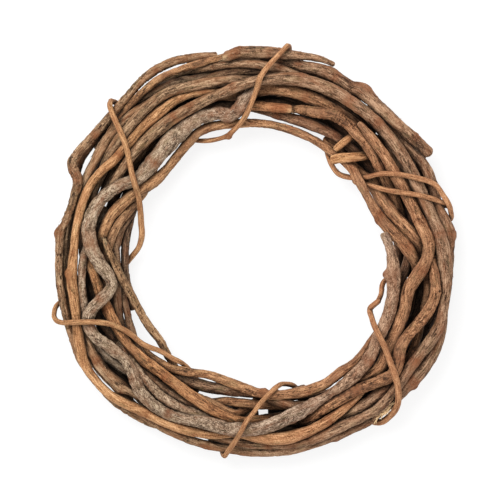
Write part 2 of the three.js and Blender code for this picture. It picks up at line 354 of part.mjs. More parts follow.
// The ties lie over everything. A third value is a height where the tie leaves the top and goes beneath.
const UNDER = 3.4;            // axis height of a tie below the vines
const TIES = [
  { name: 'tie_upper_right', thickness: [5, 5.6, 5.4, 5.6, 5], route: [
    [18, 138, UNDER], [13, 152, UNDER], [9.5, 172, UNDER], [8.5, 186, 6], [8.6, 195.5, 15],
    [9.5, 198.3, 26], [11, 198, 36], [13, 197, 42], [15, 195.3], [18, 192.5], [20.5, 189], [22, 183.4],
    [25.4, 170], [28.8, 156.7], [31.3, 144.4], [32.6, 135], [34, 127, 33], [36, 121.5, 32],
    [38.5, 117, 30], [42, 113.3, 29], [46, 113.8, 30], [50, 117, 29], [52.5, 121, 25], [55, 127, 14],
    [56, 137, 5], [57, 152, UNDER],
  ] },
  { name: 'tie_upper_right_second', thickness: [5, 5.2, 5.4], route: [
    [40, 138, 8], [36, 129, 20], [33.5, 131, 34], [30, 134.5], [28, 138], [25.3, 144.4], [21.7, 156.7],
    [18.9, 170], [16.2, 183.4], [14.4, 192], [13.5, 197, 32], [13, 198, 20], [14, 189, 6],
    [18, 174, UNDER], [24, 157, UNDER],
  ] },
  { name: 'tie_top', thickness: [4.8, 5.4, 5.2, 5], route: [
    [76, 140, 6], [76, 156, UNDER], [78, 174, UNDER], [80, 192, 6], [80.2, 203, 18], [80.6, 205, 30],
    [82.2, 197.5], [84, 190], [86.4, 180], [88.4, 170], [89.4, 160], [90.6, 150], [92.6, 140],
    [95.2, 130], [98, 124.5], [101.3, 119.6], [104.5, 117.3, 31], [109, 117.2, 30], [113.5, 119.2, 27],
    [117, 123, 20], [120.5, 129, 11], [124, 137, 5], [127, 147, UNDER],
  ] },
  { name: 'tie_upper_left', thickness: [5, 5.8, 6, 5.6], route: [
    [133, 158, UNDER], [133.3, 176, UNDER], [133.4, 192, 6], [133.3, 203, 17], [134, 206, 28],
    [135.2, 203.5], [136.5, 195], [138, 183.5], [139.8, 171], [142.4, 160], [145.8, 150], [149.8, 140],
    [153.5, 131], [158, 124.3], [163, 119.5, 34], [168, 116.2, 33], [173, 114.2, 32],
    [177.5, 115.3, 30], [181, 119.8, 26], [184, 126, 18], [187.5, 134, 8], [192, 146, UNDER],
  ] },
  { name: 'tie_lower_left', thickness: [5, 5.6, 5.4, 5.2], route: [
    [191.5, 160, UNDER], [193.5, 178, UNDER], [194.5, 194, 6], [195.1, 203, 17], [196.3, 208.5, 28],
    [198.3, 211.3, 34], [199.9, 209], [200.9, 203], [201.8, 193.5], [203.2, 181.5], [205, 170],
    [207.4, 161], [210, 155], [213.5, 150.3], [218, 147.5], [221.5, 144.3], [225, 140], [228, 137.3],
    [232, 135.8], [237, 134.8, 36], [241, 136.8, 30], [242.6, 140.5, 18], [243, 147, 7],
    [243, 158, UNDER],
  ] },
  { name: 'tie_bottom', thickness: [4.8, 5.2, 5.2], route: [
    [255, 156, UNDER], [257, 172, UNDER], [259, 190, 6], [260.8, 204, 16], [261.5, 206.5, 28],
    [262.6, 200], [264.2, 190], [265.6, 180], [267.2, 170], [269.8, 160], [272.8, 150], [275, 145.3],
    [277.3, 140.5], [279.5, 137.8], [282, 137.3, 36], [284.3, 139.8, 32], [286, 143, 24],
    [287, 148, 15], [288, 156, 7], [290, 166, UNDER],
  ] },
  { name: 'tie_lower_right', thickness: [5.4, 6.4, 5.6, 4.6], route: [
    [298, 160, UNDER], [300, 176, UNDER], [302, 194, 6], [304, 205, 15], [306, 211.5, 26],
    [309.5, 212.5, 33], [312.5, 209], [315.3, 200], [317.5, 190], [319.2, 180], [321.3, 170],
    [323.3, 160], [325.3, 150], [327.8, 140], [330.3, 133.5], [333, 129.3, 33], [335.5, 131],
    [338.5, 133.6, 31], [341.5, 133.8, 29], [344.5, 132.4, 27], [347, 134.8, 22], [349.5, 139, 15],
    [352, 146, 7], [354, 158, UNDER],
  ] },
];

// Knots, spurs and twig bases: [vine, angle, radius, direction, how far it stands out, width].
const OUTWARD = 'outward';
const INWARD = 'inward';
const KNOTS = [
  ['vine_left_edge', 154.3, 202, OUTWARD, 0.8, 9],
  ['vine_left_edge', 175, 194.6, OUTWARD, 2.6, 8],
  ['vine_right_edge', 4, 194.8, OUTWARD, 2, 10],
  ['vine_right_edge', -40.3, 204.4, OUTWARD, 2.6, 6],
  ['vine_top_edge', 55.5, 190, OUTWARD, 3, 8],
  ['vine_top_edge', 66.8, 191.6, OUTWARD, 1.5, 9],
  ['branch_lower_left', -135.4, 191.8, OUTWARD, 2, 8],
  ['tie_upper_left', 134.1, 206, OUTWARD, 1.2, 5],
  ['tie_top', 103, 118.3, INWARD, 2.2, 6],
  ['vine_bottom_inner', -86.3, 144.9, INWARD, 1.8, 5],
  ['vine_grey_long', -10, 141.2, INWARD, 5, 6],
  ['vine_grey_long', 194.5, 147.3, INWARD, 1, 9],
  ['vine_grey_long', 105.5, 141.2, OUTWARD, 1.5, 9],
  ['vine_brown_long', 52, 175.6, OUTWARD, 1.2, 9],
  ['vine_tan_long', 151, 170.2, OUTWARD, 1, 8],
  ['vine_tan_long', 187.5, 183.8, OUTWARD, 2.4, 7],
  ['vine_inner_long', 14, 129, INWARD, 1, 9],
  ['vine_bottom_edge', -66.5, 204, OUTWARD, 1, 8],
];

const radians = THREE.MathUtils.degToRad;
const clamp = THREE.MathUtils.clamp;

// Height of a vine's axis for its layer: the band's cross-section is domed above and flatter below.
function layerHeight(radius, layer) {
  const across = clamp((radius - BAND_MIDDLE) / BAND_HALF, -0.96, 0.96);
  const dome = Math.sqrt(1 - across * across);
  const top = WAIST_HEIGHT + (CROWN_HEIGHT - WAIST_HEIGHT) * dome;
  const bottom = WAIST_HEIGHT - (WAIST_HEIGHT - LOWEST_HEIGHT) * dome;
  return Math.max(bottom, top - layer * LAYER_DEPTH);
}

// Fills in the values that a row leaves out and turns it into a point with its thickness.
function readRoute(rows) {
  const points = [];
  const thickness = [];
  let layer = 0;
  let wide = 8;
  for (const [angle, radius, ownLayer, ownWide] of rows) {
    layer = ownLayer ?? layer;
    wide = ownWide ?? wide;
    const a = radians(angle);
    const height = layerHeight(radius, layer);
    points.push(new THREE.Vector3(radius * Math.cos(a), radius * Math.sin(a), height));
    thickness.push(wide);
  }
  return { points, thickness };
}

// The same small random numbers on every run.
function makeRandom(seed) {
  let state = seed;
  return () => {
    state = (Math.imul(state, 1664525) + 1013904223) >>> 0;
    return state / 4294967296;
  };
}

function readTie(tie) {
  const points = [];
  const thickness = [];
  const last = tie.route.length - 1;
  tie.route.forEach(([angle, radius, height], row) => {
    const a = radians(angle);
    const over = layerHeight(radius, 0) + TIE_LIFT;
    points.push(new THREE.Vector3(radius * Math.cos(a), radius * Math.sin(a), height ?? over));
    const along = (row / last) * (tie.thickness.length - 1);
    const before = Math.min(Math.floor(along), tie.thickness.length - 2);
    const [from, to] = tie.thickness.slice(before, before + 2);
    thickness.push(THREE.MathUtils.lerp(from, to, along - before));
  });
  return { points, thickness };
}

function distanceToChord(point, from, to) {
  const line = new THREE.Line3(from, to);
  const nearest = line.closestPointToPoint(point, true, new THREE.Vector3());
  return nearest.distanceTo(point);
}

// Points every few millimetres along the smooth curve through a route.
function denseCurve({ points, thickness }) {
  const curve = new THREE.CatmullRomCurve3(points, false, 'centripetal');
  const dense = [];
  for (let span = 0; span < points.length - 1; span++) {
    for (let part = 0; part < POINTS_PER_SPAN; part++) {
      const f = part / POINTS_PER_SPAN;
      const centre = curve.getPoint((span + f) / (points.length - 1));
      const wide = THREE.MathUtils.lerp(thickness[span], thickness[span + 1], f);
      dense.push({ centre, radius: wide / 2 });
    }
  }
  dense.push({ centre: points.at(-1).clone(), radius: thickness.at(-1) / 2 });
  return dense;
}

// Marks the ring of a knot, and one on each side of it where the knot's foot ends.
function markKnots(dense, knots) {
  for (const [, angle, radius, direction, stand, width] of knots) {
    const a = radians(angle);
    const place = new THREE.Vector2(radius * Math.cos(a), radius * Math.sin(a));
    const apart = dense.map(({ centre }) => Math.hypot(centre.x - place.x, centre.y - place.y));
    const middle = apart.indexOf(Math.min(...apart));
    for (const way of [-1, 1]) {
      let foot = middle;
      while (dense[foot + way] && dense[foot].centre.distanceTo(dense[middle].centre) < width * 0.6) {
        foot += way;
      }
      dense[foot].kept = true;
    }
    dense[middle].kept = true;
    dense[middle].knot = { direction, stand };
  }
}

// Keeps a ring centre wherever a straight step would cut the curve or grow too long.
function ringCentres(dense, longestStep) {
  const kept = [dense[0]];
  let from = 0;
  for (let to = 1; to < dense.length; to++) {
    const start = dense[from].centre;
    const length = dense[to].centre.distanceTo(start);
    let bulge = 0;
    for (let between = from + 1; between < to; between++) {
      bulge = Math.max(bulge, distanceToChord(dense[between].centre, start, dense[to].centre));
    }
    const tooCurved = bulge > ROUTE_TOLERANCE && length > SHORTEST_STEP;
    if (dense[to].kept) {
      from = to;
      kept.push(dense[to]);
    } else if (to - from > 1 && (length > longestStep || tooCurved)) {
      from = to - 1;
      kept.push(dense[from]);
    }
  }
  const end = dense.at(-1);
  const previous = kept.at(-1);
  const close = end.centre.distanceTo(previous.centre) < SHORTEST_STEP * 0.7;
  if (kept.length > 2 && !previous.kept && close) {
    kept.pop();
  }
  kept.push(end);
  return kept;
}

// A strand is a vine or tie while it settles: its ring centres, where they want to be, and how freely
// they move.
function makeStrand(item, isTie) {
  const dense = denseCurve(isTie ? readTie(item) : readRoute(item.route));
  markKnots(dense, KNOTS.filter(([owner]) => owner === item.name));
  const rings = ringCentres(dense, isTie ? LONGEST_TIE_STEP : LONGEST_STEP);
  const hidden = item.name.startsWith('under');
  const random = makeRandom(item.name.length * 7919 + item.route.length * 104729 + rings.length);
  const strand = {
    name: item.name,
    bark: item.bark ?? TIE,
    isTie,
    sides: isTie || hidden ? SLIM_SIDES : VISIBLE_SIDES,
    centres: rings.map((ring) => ring.centre.clone()),
    wanted: rings.map((ring) => ring.centre.clone()),
    radii: rings.map((ring) => ring.radius * (1 + UNEVENNESS * (2 * random() - 1))),
    knots: rings.map((ring) => ring.knot),
    turned: item.turned ? 0.5 : 0,
    looseAcross: hidden ? HIDDEN_SIDEWAYS : SIDEWAYS,
    looseUp: 1,
    pinned: rings.map(() => false),
    restRing: -1,
  };
  if (item.rest !== undefined) {
    placeRest(strand, item.rest);
  }
  return strand;
}

// Brings two neighbouring rings down until the lower face between them lies on the surface.
function placeRest(strand, angle) {
  const target = radians(angle);
  const towards = new THREE.Vector3(Math.cos(target), Math.sin(target), 0);
  let best = 0;
  strand.centres.forEach((centre, ring) => {
    if (centre.dot(towards) > strand.centres[best].dot(towards)) {
      best = ring;
    }
  });
  const underside = Math.cos(Math.PI / SLIM_SIDES);
  for (const ring of [best, best + 1]) {
    strand.wanted[ring].z = strand.radii[ring] * underside;
    strand.centres[ring].z = strand.wanted[ring].z;
    strand.pinned[ring] = true;
  }
  strand.restRing = best;
}

// Closest points of two straight steps, as fractions along them.
const edgeA = new THREE.Vector3();
const edgeB = new THREE.Vector3();
const between = new THREE.Vector3();
function closestFractions(a0, a1, b0, b1) {
  edgeA.subVectors(a1, a0);
  edgeB.subVectors(b1, b0);
  between.subVectors(a0, b0);
  const aa = edgeA.lengthSq();
  const bb = edgeB.lengthSq();
  const ab = edgeA.dot(edgeB);
  const ar = edgeA.dot(between);
  const br = edgeB.dot(between);
  const spread = aa * bb - ab * ab;
  let s = spread > 1e-6 ? clamp((ab * br - ar * bb) / spread, 0, 1) : 0.5;
  let t = (ab * s + br) / bb;
  if (t < 0) {
    t = 0;
    s = clamp(-ar / aa, 0, 1);
  } else if (t > 1) {
    t = 1;
    s = clamp((ab - ar) / aa, 0, 1);
  }
  return [s, t];
}

// Pairs of steps, of two strands or far apart on one, that are close enough to touch soon.
function nearbySteps(strands, reach) {
  const cells = new Map();
  strands.forEach((strand, own) => {
    for (let step = 0; step < strand.centres.length - 1; step++) {
      const middle = strand.centres[step].clone().add(strand.centres[step + 1]).multiplyScalar(0.5);
      const half = strand.centres[step].distanceTo(strand.centres[step + 1]) / 2;
      const column = Math.floor(middle.x / SEARCH_SQUARE);
      const row = Math.floor(middle.y / SEARCH_SQUARE);
      const key = `${column},${row}`;
      const entry = { own, step, middle, half, column, row };
      cells.set(key, [...(cells.get(key) ?? []), entry]);
    }
  });
  const pairs = [];
  for (const entries of cells.values()) {
    for (const one of entries) {
      for (let column = one.column - 1; column <= one.column + 1; column++) {
        for (let row = one.row - 1; row <= one.row + 1; row++) {
          for (const other of cells.get(`${column},${row}`) ?? []) {
            const laterStep = other.own === one.own && other.step > one.step + 4;
            const later = other.own > one.own || laterStep;
            const far = one.half + other.half + reach + THICKEST_PAIR;
            if (later && one.middle.distanceTo(other.middle) < far) {
              pairs.push([one.own, one.step, other.own, other.step]);
            }
          }
        }
      }
    }
  }
  return pairs;
}

const nearA = new THREE.Vector3();
const nearB = new THREE.Vector3();
const push = new THREE.Vector3();
// Gap between two steps taken as round rods; negative where they overlap.
function gapOf(strands, [ownA, stepA, ownB, stepB]) {
  const a = strands[ownA];
  const b = strands[ownB];
  const [a0, a1] = a.centres.slice(stepA, stepA + 2);
  const [b0, b1] = b.centres.slice(stepB, stepB + 2);
  const [s, t] = closestFractions(a0, a1, b0, b1);
  nearA.lerpVectors(a0, a1, s);
  nearB.lerpVectors(b0, b1, t);
  push.subVectors(nearA, nearB);
  const apart = push.length();
  const wideA = Math.max(a.radii[stepA], a.radii[stepA + 1]);
  const wideB = Math.max(b.radii[stepB], b.radii[stepB + 1]);
  const wide = wideA + wideB;
  return { s, t, apart, gap: apart - wide };
}

function moveShare(strand, ring, share, along, amount) {
  if (strand.pinned[ring]) {
    return;
  }
  strand.centres[ring].x += along.x * strand.looseAcross * share * amount;
  strand.centres[ring].y += along.y * strand.looseAcross * share * amount;
  strand.centres[ring].z += along.z * strand.looseUp * share * amount;
}

function shareWeight(strand, ring, share, along) {
  if (strand.pinned[ring]) {
    return 0;
  }
  const level = (along.x * along.x + along.y * along.y) * strand.looseAcross;
  return share * share * (level + along.z * along.z * strand.looseUp);
}

// Moves two overlapping steps apart along the line between them, each by how freely it moves.
function pushApart(strands, pair) {
  const { s, t, apart, gap } = gapOf(strands, pair);
  const missing = CLEARANCE - gap;
  if (missing <= 0) {
    return;
  }
  const a = strands[pair[0]];
  const b = strands[pair[2]];
  if (apart < 0.05) {
    push.set(0, 0, 1);
  } else {
    push.divideScalar(apart);
  }
  const along = push.clone();
  const shares = [
    [a, pair[1], 1 - s],
    [a, pair[1] + 1, s],
    [b, pair[3], t - 1],
    [b, pair[3] + 1, -t],
  ];
  let total = 0;
  for (const [strand, ring, share] of shares) {
    total += shareWeight(strand, ring, share, along);
  }
  if (total < 1e-6) {
    return;
  }
  const amount = Math.min(missing, 2) / total;
  for (const [strand, ring, share] of shares) {
    moveShare(strand, ring, share, along, amount);
  }
}

// Stiffness: a ring's shift from where it wants to be evens out with its neighbours' shifts.
function evenOut(strand, stiffness) {
  const shifts = strand.centres.map((centre, ring) => centre.clone().sub(strand.wanted[ring]));
  for (let ring = 0; ring < shifts.length; ring++) {
    if (strand.pinned[ring]) {
      continue;
    }
    const before = shifts[Math.max(ring - 1, 0)];
    const after = shifts[Math.min(ring + 1, shifts.length - 1)];
    const evened = before.clone().add(after).multiplyScalar(0.5).sub(shifts[ring]);
    strand.centres[ring].addScaledVector(evened, stiffness);
  }
}

function drawBack(strand, across, up) {
  strand.centres.forEach((centre, ring) => {
    if (!strand.pinned[ring]) {
      centre.x += (strand.wanted[ring].x - centre.x) * across;
      centre.y += (strand.wanted[ring].y - centre.y) * across;
      centre.z += (strand.wanted[ring].z - centre.z) * up;
    }
  });
}

function keepOffFloor(strand) {
  const room = strand.isTie ? 0.5 : TIE_ROOM;
  strand.centres.forEach((centre, ring) => {
    const nearRest = strand.restRing >= 0 && Math.abs(ring - strand.restRing - 0.5) < 2;
    const lowest = strand.radii[ring] + (nearRest ? 0.5 : room);
    if (!strand.pinned[ring] && centre.z < lowest) {
      centre.z = lowest;
    }
  });
}

function settle(strands, rounds) {
  let pairs = [];
  for (let round = 0; round < rounds; round++) {
    if (round % 6 === 0) {
      pairs = nearbySteps(strands, 4);
    }
    const left = 1 - round / rounds;
    const pull = left > 0.35 ? 0.03 : 0;
    const stiff = left > 0.35 ? 0.3 : 0.06;
    for (const strand of strands) {
      drawBack(strand, pull, pull * 0.6);
      evenOut(strand, stiff);
    }
    for (const pair of pairs) {
      pushApart(strands, pair);
    }
    strands.forEach(keepOffFloor);
  }
}

// How high a tie's ring lies when it is lowered on to the vines.
function restingHeight(strands, centre, radius) {
  let height = 0;
  for (const strand of strands) {
    for (let step = 0; step < strand.centres.length - 1; step++) {
      for (const f of [0, 0.25, 0.5, 0.75]) {
        nearA.lerpVectors(strand.centres[step], strand.centres[step + 1], f);
        const reach = radius + strand.radii[step];
        const level = Math.hypot(nearA.x - centre.x, nearA.y - centre.y);
        if (level < reach) {
          const lift = Math.sqrt(reach * reach - level * level);
          height = Math.max(height, nearA.z + lift);
        }
      }
    }
  }
  return height;
}

// Lowers the visible part of a tie on to the vines and draws it taut over the dips between them.
function layTie(strands, tie) {
  const lying = tie.centres.map((centre) => {
    const vineHeight = layerHeight(Math.hypot(centre.x, centre.y), 0);
    return centre.z > vineHeight + TIE_LIFT / 3;
  });
  const lowest = tie.centres.map((centre) => centre.z);
  tie.centres.forEach((centre, ring) => {
    if (lying[ring]) {
      lowest[ring] = restingHeight(strands, centre, tie.radii[ring]) + 0.5;
      centre.z = lowest[ring];
    }
  });
  for (let round = 0; round < 30; round++) {
    for (let ring = 1; ring < tie.centres.length - 1; ring++) {
      if (lying[ring]) {
        const taut = (tie.centres[ring - 1].z + tie.centres[ring + 1].z) / 2;
        tie.centres[ring].z = Math.max(lowest[ring], taut - 0.4);
      }
    }
  }
  tie.wanted = tie.centres.map((centre) => centre.clone());
}

// Whatever still overlaps after settling is thinned a little, as a vine is where another presses on it.
function thinWhereTight(strands) {
  for (const pair of nearbySteps(strands, 2)) {
    for (let attempt = 0; attempt < 4; attempt++) {
      const { gap, apart } = gapOf(strands, pair);
      if (gap >= 0.08) {
        break;
      }
      const keep = Math.max((apart - 0.1) / (apart - gap), 0.4);
      for (const [own, step] of [[pair[0], pair[1]], [pair[2], pair[3]]]) {
        strands[own].radii[step] *= keep;
        strands[own].radii[step + 1] *= keep;
      }
    }
  }
}

// Whether a thin spur from a vine's axis to its tip stays clear of every other vine.
function spurIsClear(strands, strand, centre, tip) {
  const spur = { centres: [centre, tip], radii: [1.2, 1.2] };
  for (const other of strands) {
    if (other !== strand) {
      for (let step = 0; step < other.centres.length - 1; step++) {
        const near = other.centres[step].distanceTo(centre) < NEIGHBOURHOOD;
        if (near && gapOf([other, spur], [0, step, 1, 0]).gap < CLEARANCE) {
          return false;
        }
      }
    }
  }
  return true;
}

// Draws the corner of a ring that faces a knot's way out to the knot's tip, as far as there is room.
function raiseKnot(strands, strand, ring, corners) {
  const { direction, stand } = strand.knots[ring];
  const centre = strand.centres[ring];
  const outward = new THREE.Vector3(centre.x, centre.y, 0).normalize();
  const way = direction === OUTWARD ? outward : outward.negate();
  const reach = corners.map((corner) => corner.clone().sub(centre).dot(way));
  const facing = corners[reach.indexOf(Math.max(...reach))];
  const away = facing.clone().sub(centre).normalize().add(way).normalize();
  for (let out = stand; out > 0.8; out *= 0.75) {
    const tip = centre.clone().addScaledVector(away, strand.radii[ring] + out);
    if (spurIsClear(strands, strand, centre, tip)) {
      facing.copy(tip);
      return;
    }
  }
}

// The mesh of a strand: one ring of points at each centre, square to the vine and on its round section.
function sweep(strand, strands) {
  const { centres, radii, sides } = strand;
  const positions = [];
  const index = [];
  const last = centres.length - 1;
  const along = centres.map((_, ring) => {
    const before = centres[Math.max(ring - 1, 0)];
    const after = centres[Math.min(ring + 1, last)];
    return after.clone().sub(before).normalize();
  });
  const side = new THREE.Vector3(0, 0, 1);
  for (let ring = 0; ring <= last; ring++) {
    if (strand.restRing >= 0) {
      side.set(0, 0, 1);
    }
    side.addScaledVector(along[ring], -side.dot(along[ring])).normalize();
    const other = new THREE.Vector3().crossVectors(along[ring], side);
    const corners = [];
    for (let corner = 0; corner < sides; corner++) {
      const turn = ((corner + strand.turned) / sides) * Math.PI * 2;
      corners.push(centres[ring].clone()
        .addScaledVector(side, Math.cos(turn) * radii[ring])
        .addScaledVector(other, Math.sin(turn) * radii[ring]));
    }
    if (strand.knots[ring]) {
      raiseKnot(strands, strand, ring, corners);
    }
    for (const point of corners) {
      const flat = strand.pinned[ring] && point.z < 1;
      positions.push(point.x, point.y, flat ? 0 : point.z);
    }
  }
  for (let ring = 0; ring < last; ring++) {
    for (let corner = 0; corner < sides; corner++) {
      const next = (corner + 1) % sides;
      const a = ring * sides + corner;
      const b = ring * sides + next;
      index.push(a, b, a + sides, b, b + sides, a + sides);
    }
  }
  for (let corner = 1; corner < sides - 1; corner++) {
    index.push(0, corner + 1, corner);
    index.push(last * sides, last * sides + corner, last * sides + corner + 1);
  }
  const geometry = new THREE.BufferGeometry();
  geometry.setAttribute('position', new THREE.Float32BufferAttribute(positions, 3));
  geometry.setIndex(index);
  return geometry;
}

const vines = VINES.map((vine) => makeStrand(vine, false));
settle(vines, LOOSE_ROUNDS);
const ties = TIES.map((tie) => makeStrand(tie, true));
ties.forEach((tie) => layTie(vines, tie));
for (const vine of vines) {
  vine.looseAcross *= PRESSED_SIDEWAYS;
  vine.looseUp = PRESSED_UP;
  vine.wanted = vine.centres.map((centre) => centre.clone());
}
const strands = [...vines, ...ties];
settle(strands, TIED_ROUNDS);
thinWhereTight(strands);

const wreath = new THREE.Group();
for (const strand of strands) {
  const geometry = sweep(strand, strands);
  const mesh = new THREE.Mesh(geometry, new THREE.MeshStandardMaterial(strand.bark));
  mesh.name = strand.name;
  wreath.add(mesh);
}

// The origin is below the middle of the ring, on the surface that it rests on.
const bounds = new THREE.Box3().setFromObject(wreath);
const middle = bounds.getCenter(new THREE.Vector3());
wreath.position.set(-middle.x, -middle.y, 0);

export default wreath;
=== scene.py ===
import json
import math

import bpy
import numpy as np
from mathutils.bvhtree import BVHTree
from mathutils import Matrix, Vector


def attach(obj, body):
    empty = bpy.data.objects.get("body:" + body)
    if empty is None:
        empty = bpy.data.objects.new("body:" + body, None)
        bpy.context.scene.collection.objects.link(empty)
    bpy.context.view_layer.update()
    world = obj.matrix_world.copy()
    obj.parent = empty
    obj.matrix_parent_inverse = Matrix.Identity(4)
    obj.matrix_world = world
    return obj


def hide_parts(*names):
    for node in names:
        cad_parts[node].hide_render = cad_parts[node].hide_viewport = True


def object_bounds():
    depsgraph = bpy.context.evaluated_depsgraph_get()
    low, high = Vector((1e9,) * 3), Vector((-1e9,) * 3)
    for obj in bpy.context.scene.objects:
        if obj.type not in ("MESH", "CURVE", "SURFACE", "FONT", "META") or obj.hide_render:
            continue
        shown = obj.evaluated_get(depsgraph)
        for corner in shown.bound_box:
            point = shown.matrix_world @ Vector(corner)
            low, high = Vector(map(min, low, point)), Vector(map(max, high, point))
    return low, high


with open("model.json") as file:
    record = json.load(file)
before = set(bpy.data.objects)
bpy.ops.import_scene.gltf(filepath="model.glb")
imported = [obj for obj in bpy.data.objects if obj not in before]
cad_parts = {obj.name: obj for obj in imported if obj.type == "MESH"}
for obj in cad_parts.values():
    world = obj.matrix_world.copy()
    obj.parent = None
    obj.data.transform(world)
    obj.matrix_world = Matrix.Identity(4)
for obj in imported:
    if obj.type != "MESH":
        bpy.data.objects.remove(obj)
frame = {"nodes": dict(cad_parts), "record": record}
cad_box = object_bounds()

MM = 0.001
FULL_TURN = 2 * math.pi
SLOT_OF = {part["node"]: part["material_slot"] for part in frame["record"]["subparts"]}

# The middle of the ring in the frame
RING_MIDDLE = np.array([0.89, 1.11])

# The visual model stays this far inside the box of the solids
INSIDE_BOX = 0.02
LOW = np.array(cad_box[0]) / MM + INSIDE_BOX
HIGH = np.array(cad_box[1]) / MM - INSIDE_BOX


def place(angle, radius):
    """The point at an angle in degrees and a distance round the ring's middle."""
    turn = math.radians(angle)
    return RING_MIDDLE + radius * np.array([math.cos(turn), math.sin(turn)])


def unit(vectors):
    """The same directions with a length of one."""
    return vectors / np.linalg.norm(vectors, axis=-1, keepdims=True)


# Points of a solid that agree to so many decimals are one point
WELD_DECIMALS = 4


def welded(mesh):
    """The separate points of a mesh, and its triangles as rows of three of them."""
    points = np.empty(len(mesh.vertices) * 3)
    mesh.vertices.foreach_get("co", points)
    points = np.round(points.reshape(-1, 3) / MM, WELD_DECIMALS)
    points, same = np.unique(points, axis=0, return_inverse=True)
    mesh.calc_loop_triangles()
    corners = np.empty(len(mesh.loop_triangles) * 3, dtype=np.int32)
    mesh.loop_triangles.foreach_get("vertices", corners)
    return points, same.reshape(-1)[corners].reshape(-1, 3)


SOLIDS = {name: welded(frame["nodes"][name].data) for name in sorted(frame["nodes"])}


def solid_tree():
    """All the solids as one body that light can be followed through."""
    points = []
    faces = []
    before = 0
    for solid_points, solid_faces in SOLIDS.values():
        points.append(solid_points)
        faces.append(solid_faces + before)
        before += len(solid_points)
    return BVHTree.FromPolygons(np.vstack(points).tolist(), np.vstack(faces).tolist())


TREE = solid_tree()

# The openness found here sets the painted shade of the bark: a place with little open space round it is
# painted darker, as if in shadow
# How open the surroundings of a strand are, felt out from places on its surface: in how many directions
# and how far, on which of its rings, and at how many places round it
LOOKS = 26
LOOK_REACH = 30.0
OPEN_ROWS = 3
OPEN_COLUMNS = 10
OFF_SURFACE = 1.0
# A direction that runs flatter along the surface than this isn't looked in
GRAZING = 0.15
# A place this much darker than both places beside it lies under a flat of its own solid
LONE_DIP = 0.35


def sky_directions():
    """Evenly spread directions over a ball."""
    number = np.arange(LOOKS) + 0.5
    up = 1 - 2 * number / LOOKS
    turn = number * math.pi * (1 + math.sqrt(5))
    flat = np.sqrt(1 - up * up)
    return np.column_stack([flat * np.cos(turn), flat * np.sin(turn), up])


DIRECTIONS = sky_directions()


def openness(path, count, columns):
    """How open the surroundings are, from 0 to 1, on rings along a strand."""
    at, turn = np.meshgrid(
        np.linspace(0, path.length, count), np.arange(columns) / columns * FULL_TURN, indexing="ij")
    radius = path.read(path.radii, at)
    surface = path.point(at, turn, radius + OFF_SURFACE).reshape(-1, 3)
    normals = unit(surface - path.point(at, turn, radius * 0).reshape(-1, 3))
    facing = normals @ DIRECTIONS.T
    free = np.zeros(len(surface))
    for number, start in enumerate(surface.tolist()):
        for look in np.flatnonzero(facing[number] > GRAZING):
            if TREE.ray_cast(start, DIRECTIONS[look].tolist(), LOOK_REACH)[0] is None:
                free[number] += facing[number, look]
    free /= np.where(facing > GRAZING, facing, 0).sum(axis=1)
    free = free.reshape(count, columns)
    beside = np.minimum(np.roll(free, 1, axis=1), np.roll(free, -1, axis=1))
    return np.where(free < LONE_DIP * beside, beside, free)


def spread(table, count, columns):
    """A coarse table of values round and along a strand, drawn out to more rings and columns."""
    rows, across = table.shape
    closed = np.column_stack([table, table[:, 0]])
    row = np.linspace(0, rows - 1, count)
    column = np.arange(columns) / columns * across
    r = np.minimum(row.astype(int), rows - 2)
    c = column.astype(int)
    f = (row - r)[:, None]
    g = (column - c)[None, :]
    near = closed[r][:, c] * (1 - g) + closed[r][:, c + 1] * g
    far = closed[r + 1][:, c] * (1 - g) + closed[r + 1][:, c + 1] * g
    return near * (1 - f) + far * f


# The tubes of the solids: their sides, and how flat and how even an end of one is
VINE_SIDES = 6
SLIM_SIDES = 5
FLAT = 0.9999
ROUND_WITHIN = 0.03
# A corner that stands out this far from the thickness before and after it is a knot
KNOT_STANDS = 0.8


def end_ring(points, faces, sides):
    """The corners of one flat end of a strand: an even polygon of that many sides."""
    a, b, c = (points[faces[:, corner]] for corner in range(3))
    normals = unit(np.cross(b - a, c - a))
    beside = {}
    for number, face in enumerate(faces):
        for corner in range(3):
            beside.setdefault(frozenset((face[corner], face[corner - 1])), []).append(number)
    done = set()
    for first in range(len(faces)):
        if first in done:
            continue
        patch = {first}
        rim = [first]
        while rim:
            face = faces[rim.pop()]
            for corner in range(3):
                for other in beside[frozenset((face[corner], face[corner - 1]))]:
                    if other not in patch and normals[other] @ normals[first] > FLAT:
                        patch.add(other)
                        rim.append(other)
        done |= patch
        ring = sorted(set(faces[list(patch)].ravel()))
        if len(patch) == sides - 2 and len(ring) == sides:
            reach = np.linalg.norm(points[ring] - points[ring].mean(axis=0), axis=1)
            if np.ptp(reach) < ROUND_WITHIN * reach.mean():
                return ring
    raise ValueError("a strand has no flat end")


def read_strand(name):
    """Ring centres, radii and knots of a strand, from one end to the other. A knot is (tip, ring)."""
    points, faces = SOLIDS[name]
    sides = SLIM_SIDES if name.startswith(("tie", "under")) else VINE_SIDES
    linked = [set() for _ in points]
    for face in faces:
        for corner in face:
            linked[corner].update(face)
    ring = set(end_ring(points, faces, sides))
    seen = set()
    rings = []
    while ring:
        rings.append(points[sorted(ring)])
        seen |= ring
        ring = set().union(*(linked[corner] for corner in ring)) - seen
    rings = np.array(rings)
    centres = rings.mean(axis=1)
    reach = np.linalg.norm(rings - centres[:, None], axis=2)
    radii = np.median(reach, axis=1)
    knots = []
    for number in range(1, len(rings) - 1):
        radius = (radii[number - 1] + radii[number + 1]) / 2
        tip = reach[number].argmax()
        if reach[number, tip] > radius + KNOT_STANDS:
            rest = np.delete(rings[number], tip, axis=0).mean(axis=0)
            radii[number] = radius
            centres[number] = rest + unit(rings[number, tip] - rest) * radius / (sides - 1)
            knots.append((rings[number, tip], number))
    return centres, radii, knots


# The middle line of a strand is drawn in steps of this length, and runs on straight past both its ends
PATH_STEP = 0.5
FEWEST_STEPS = 8
SPARE_PATH = 12.0


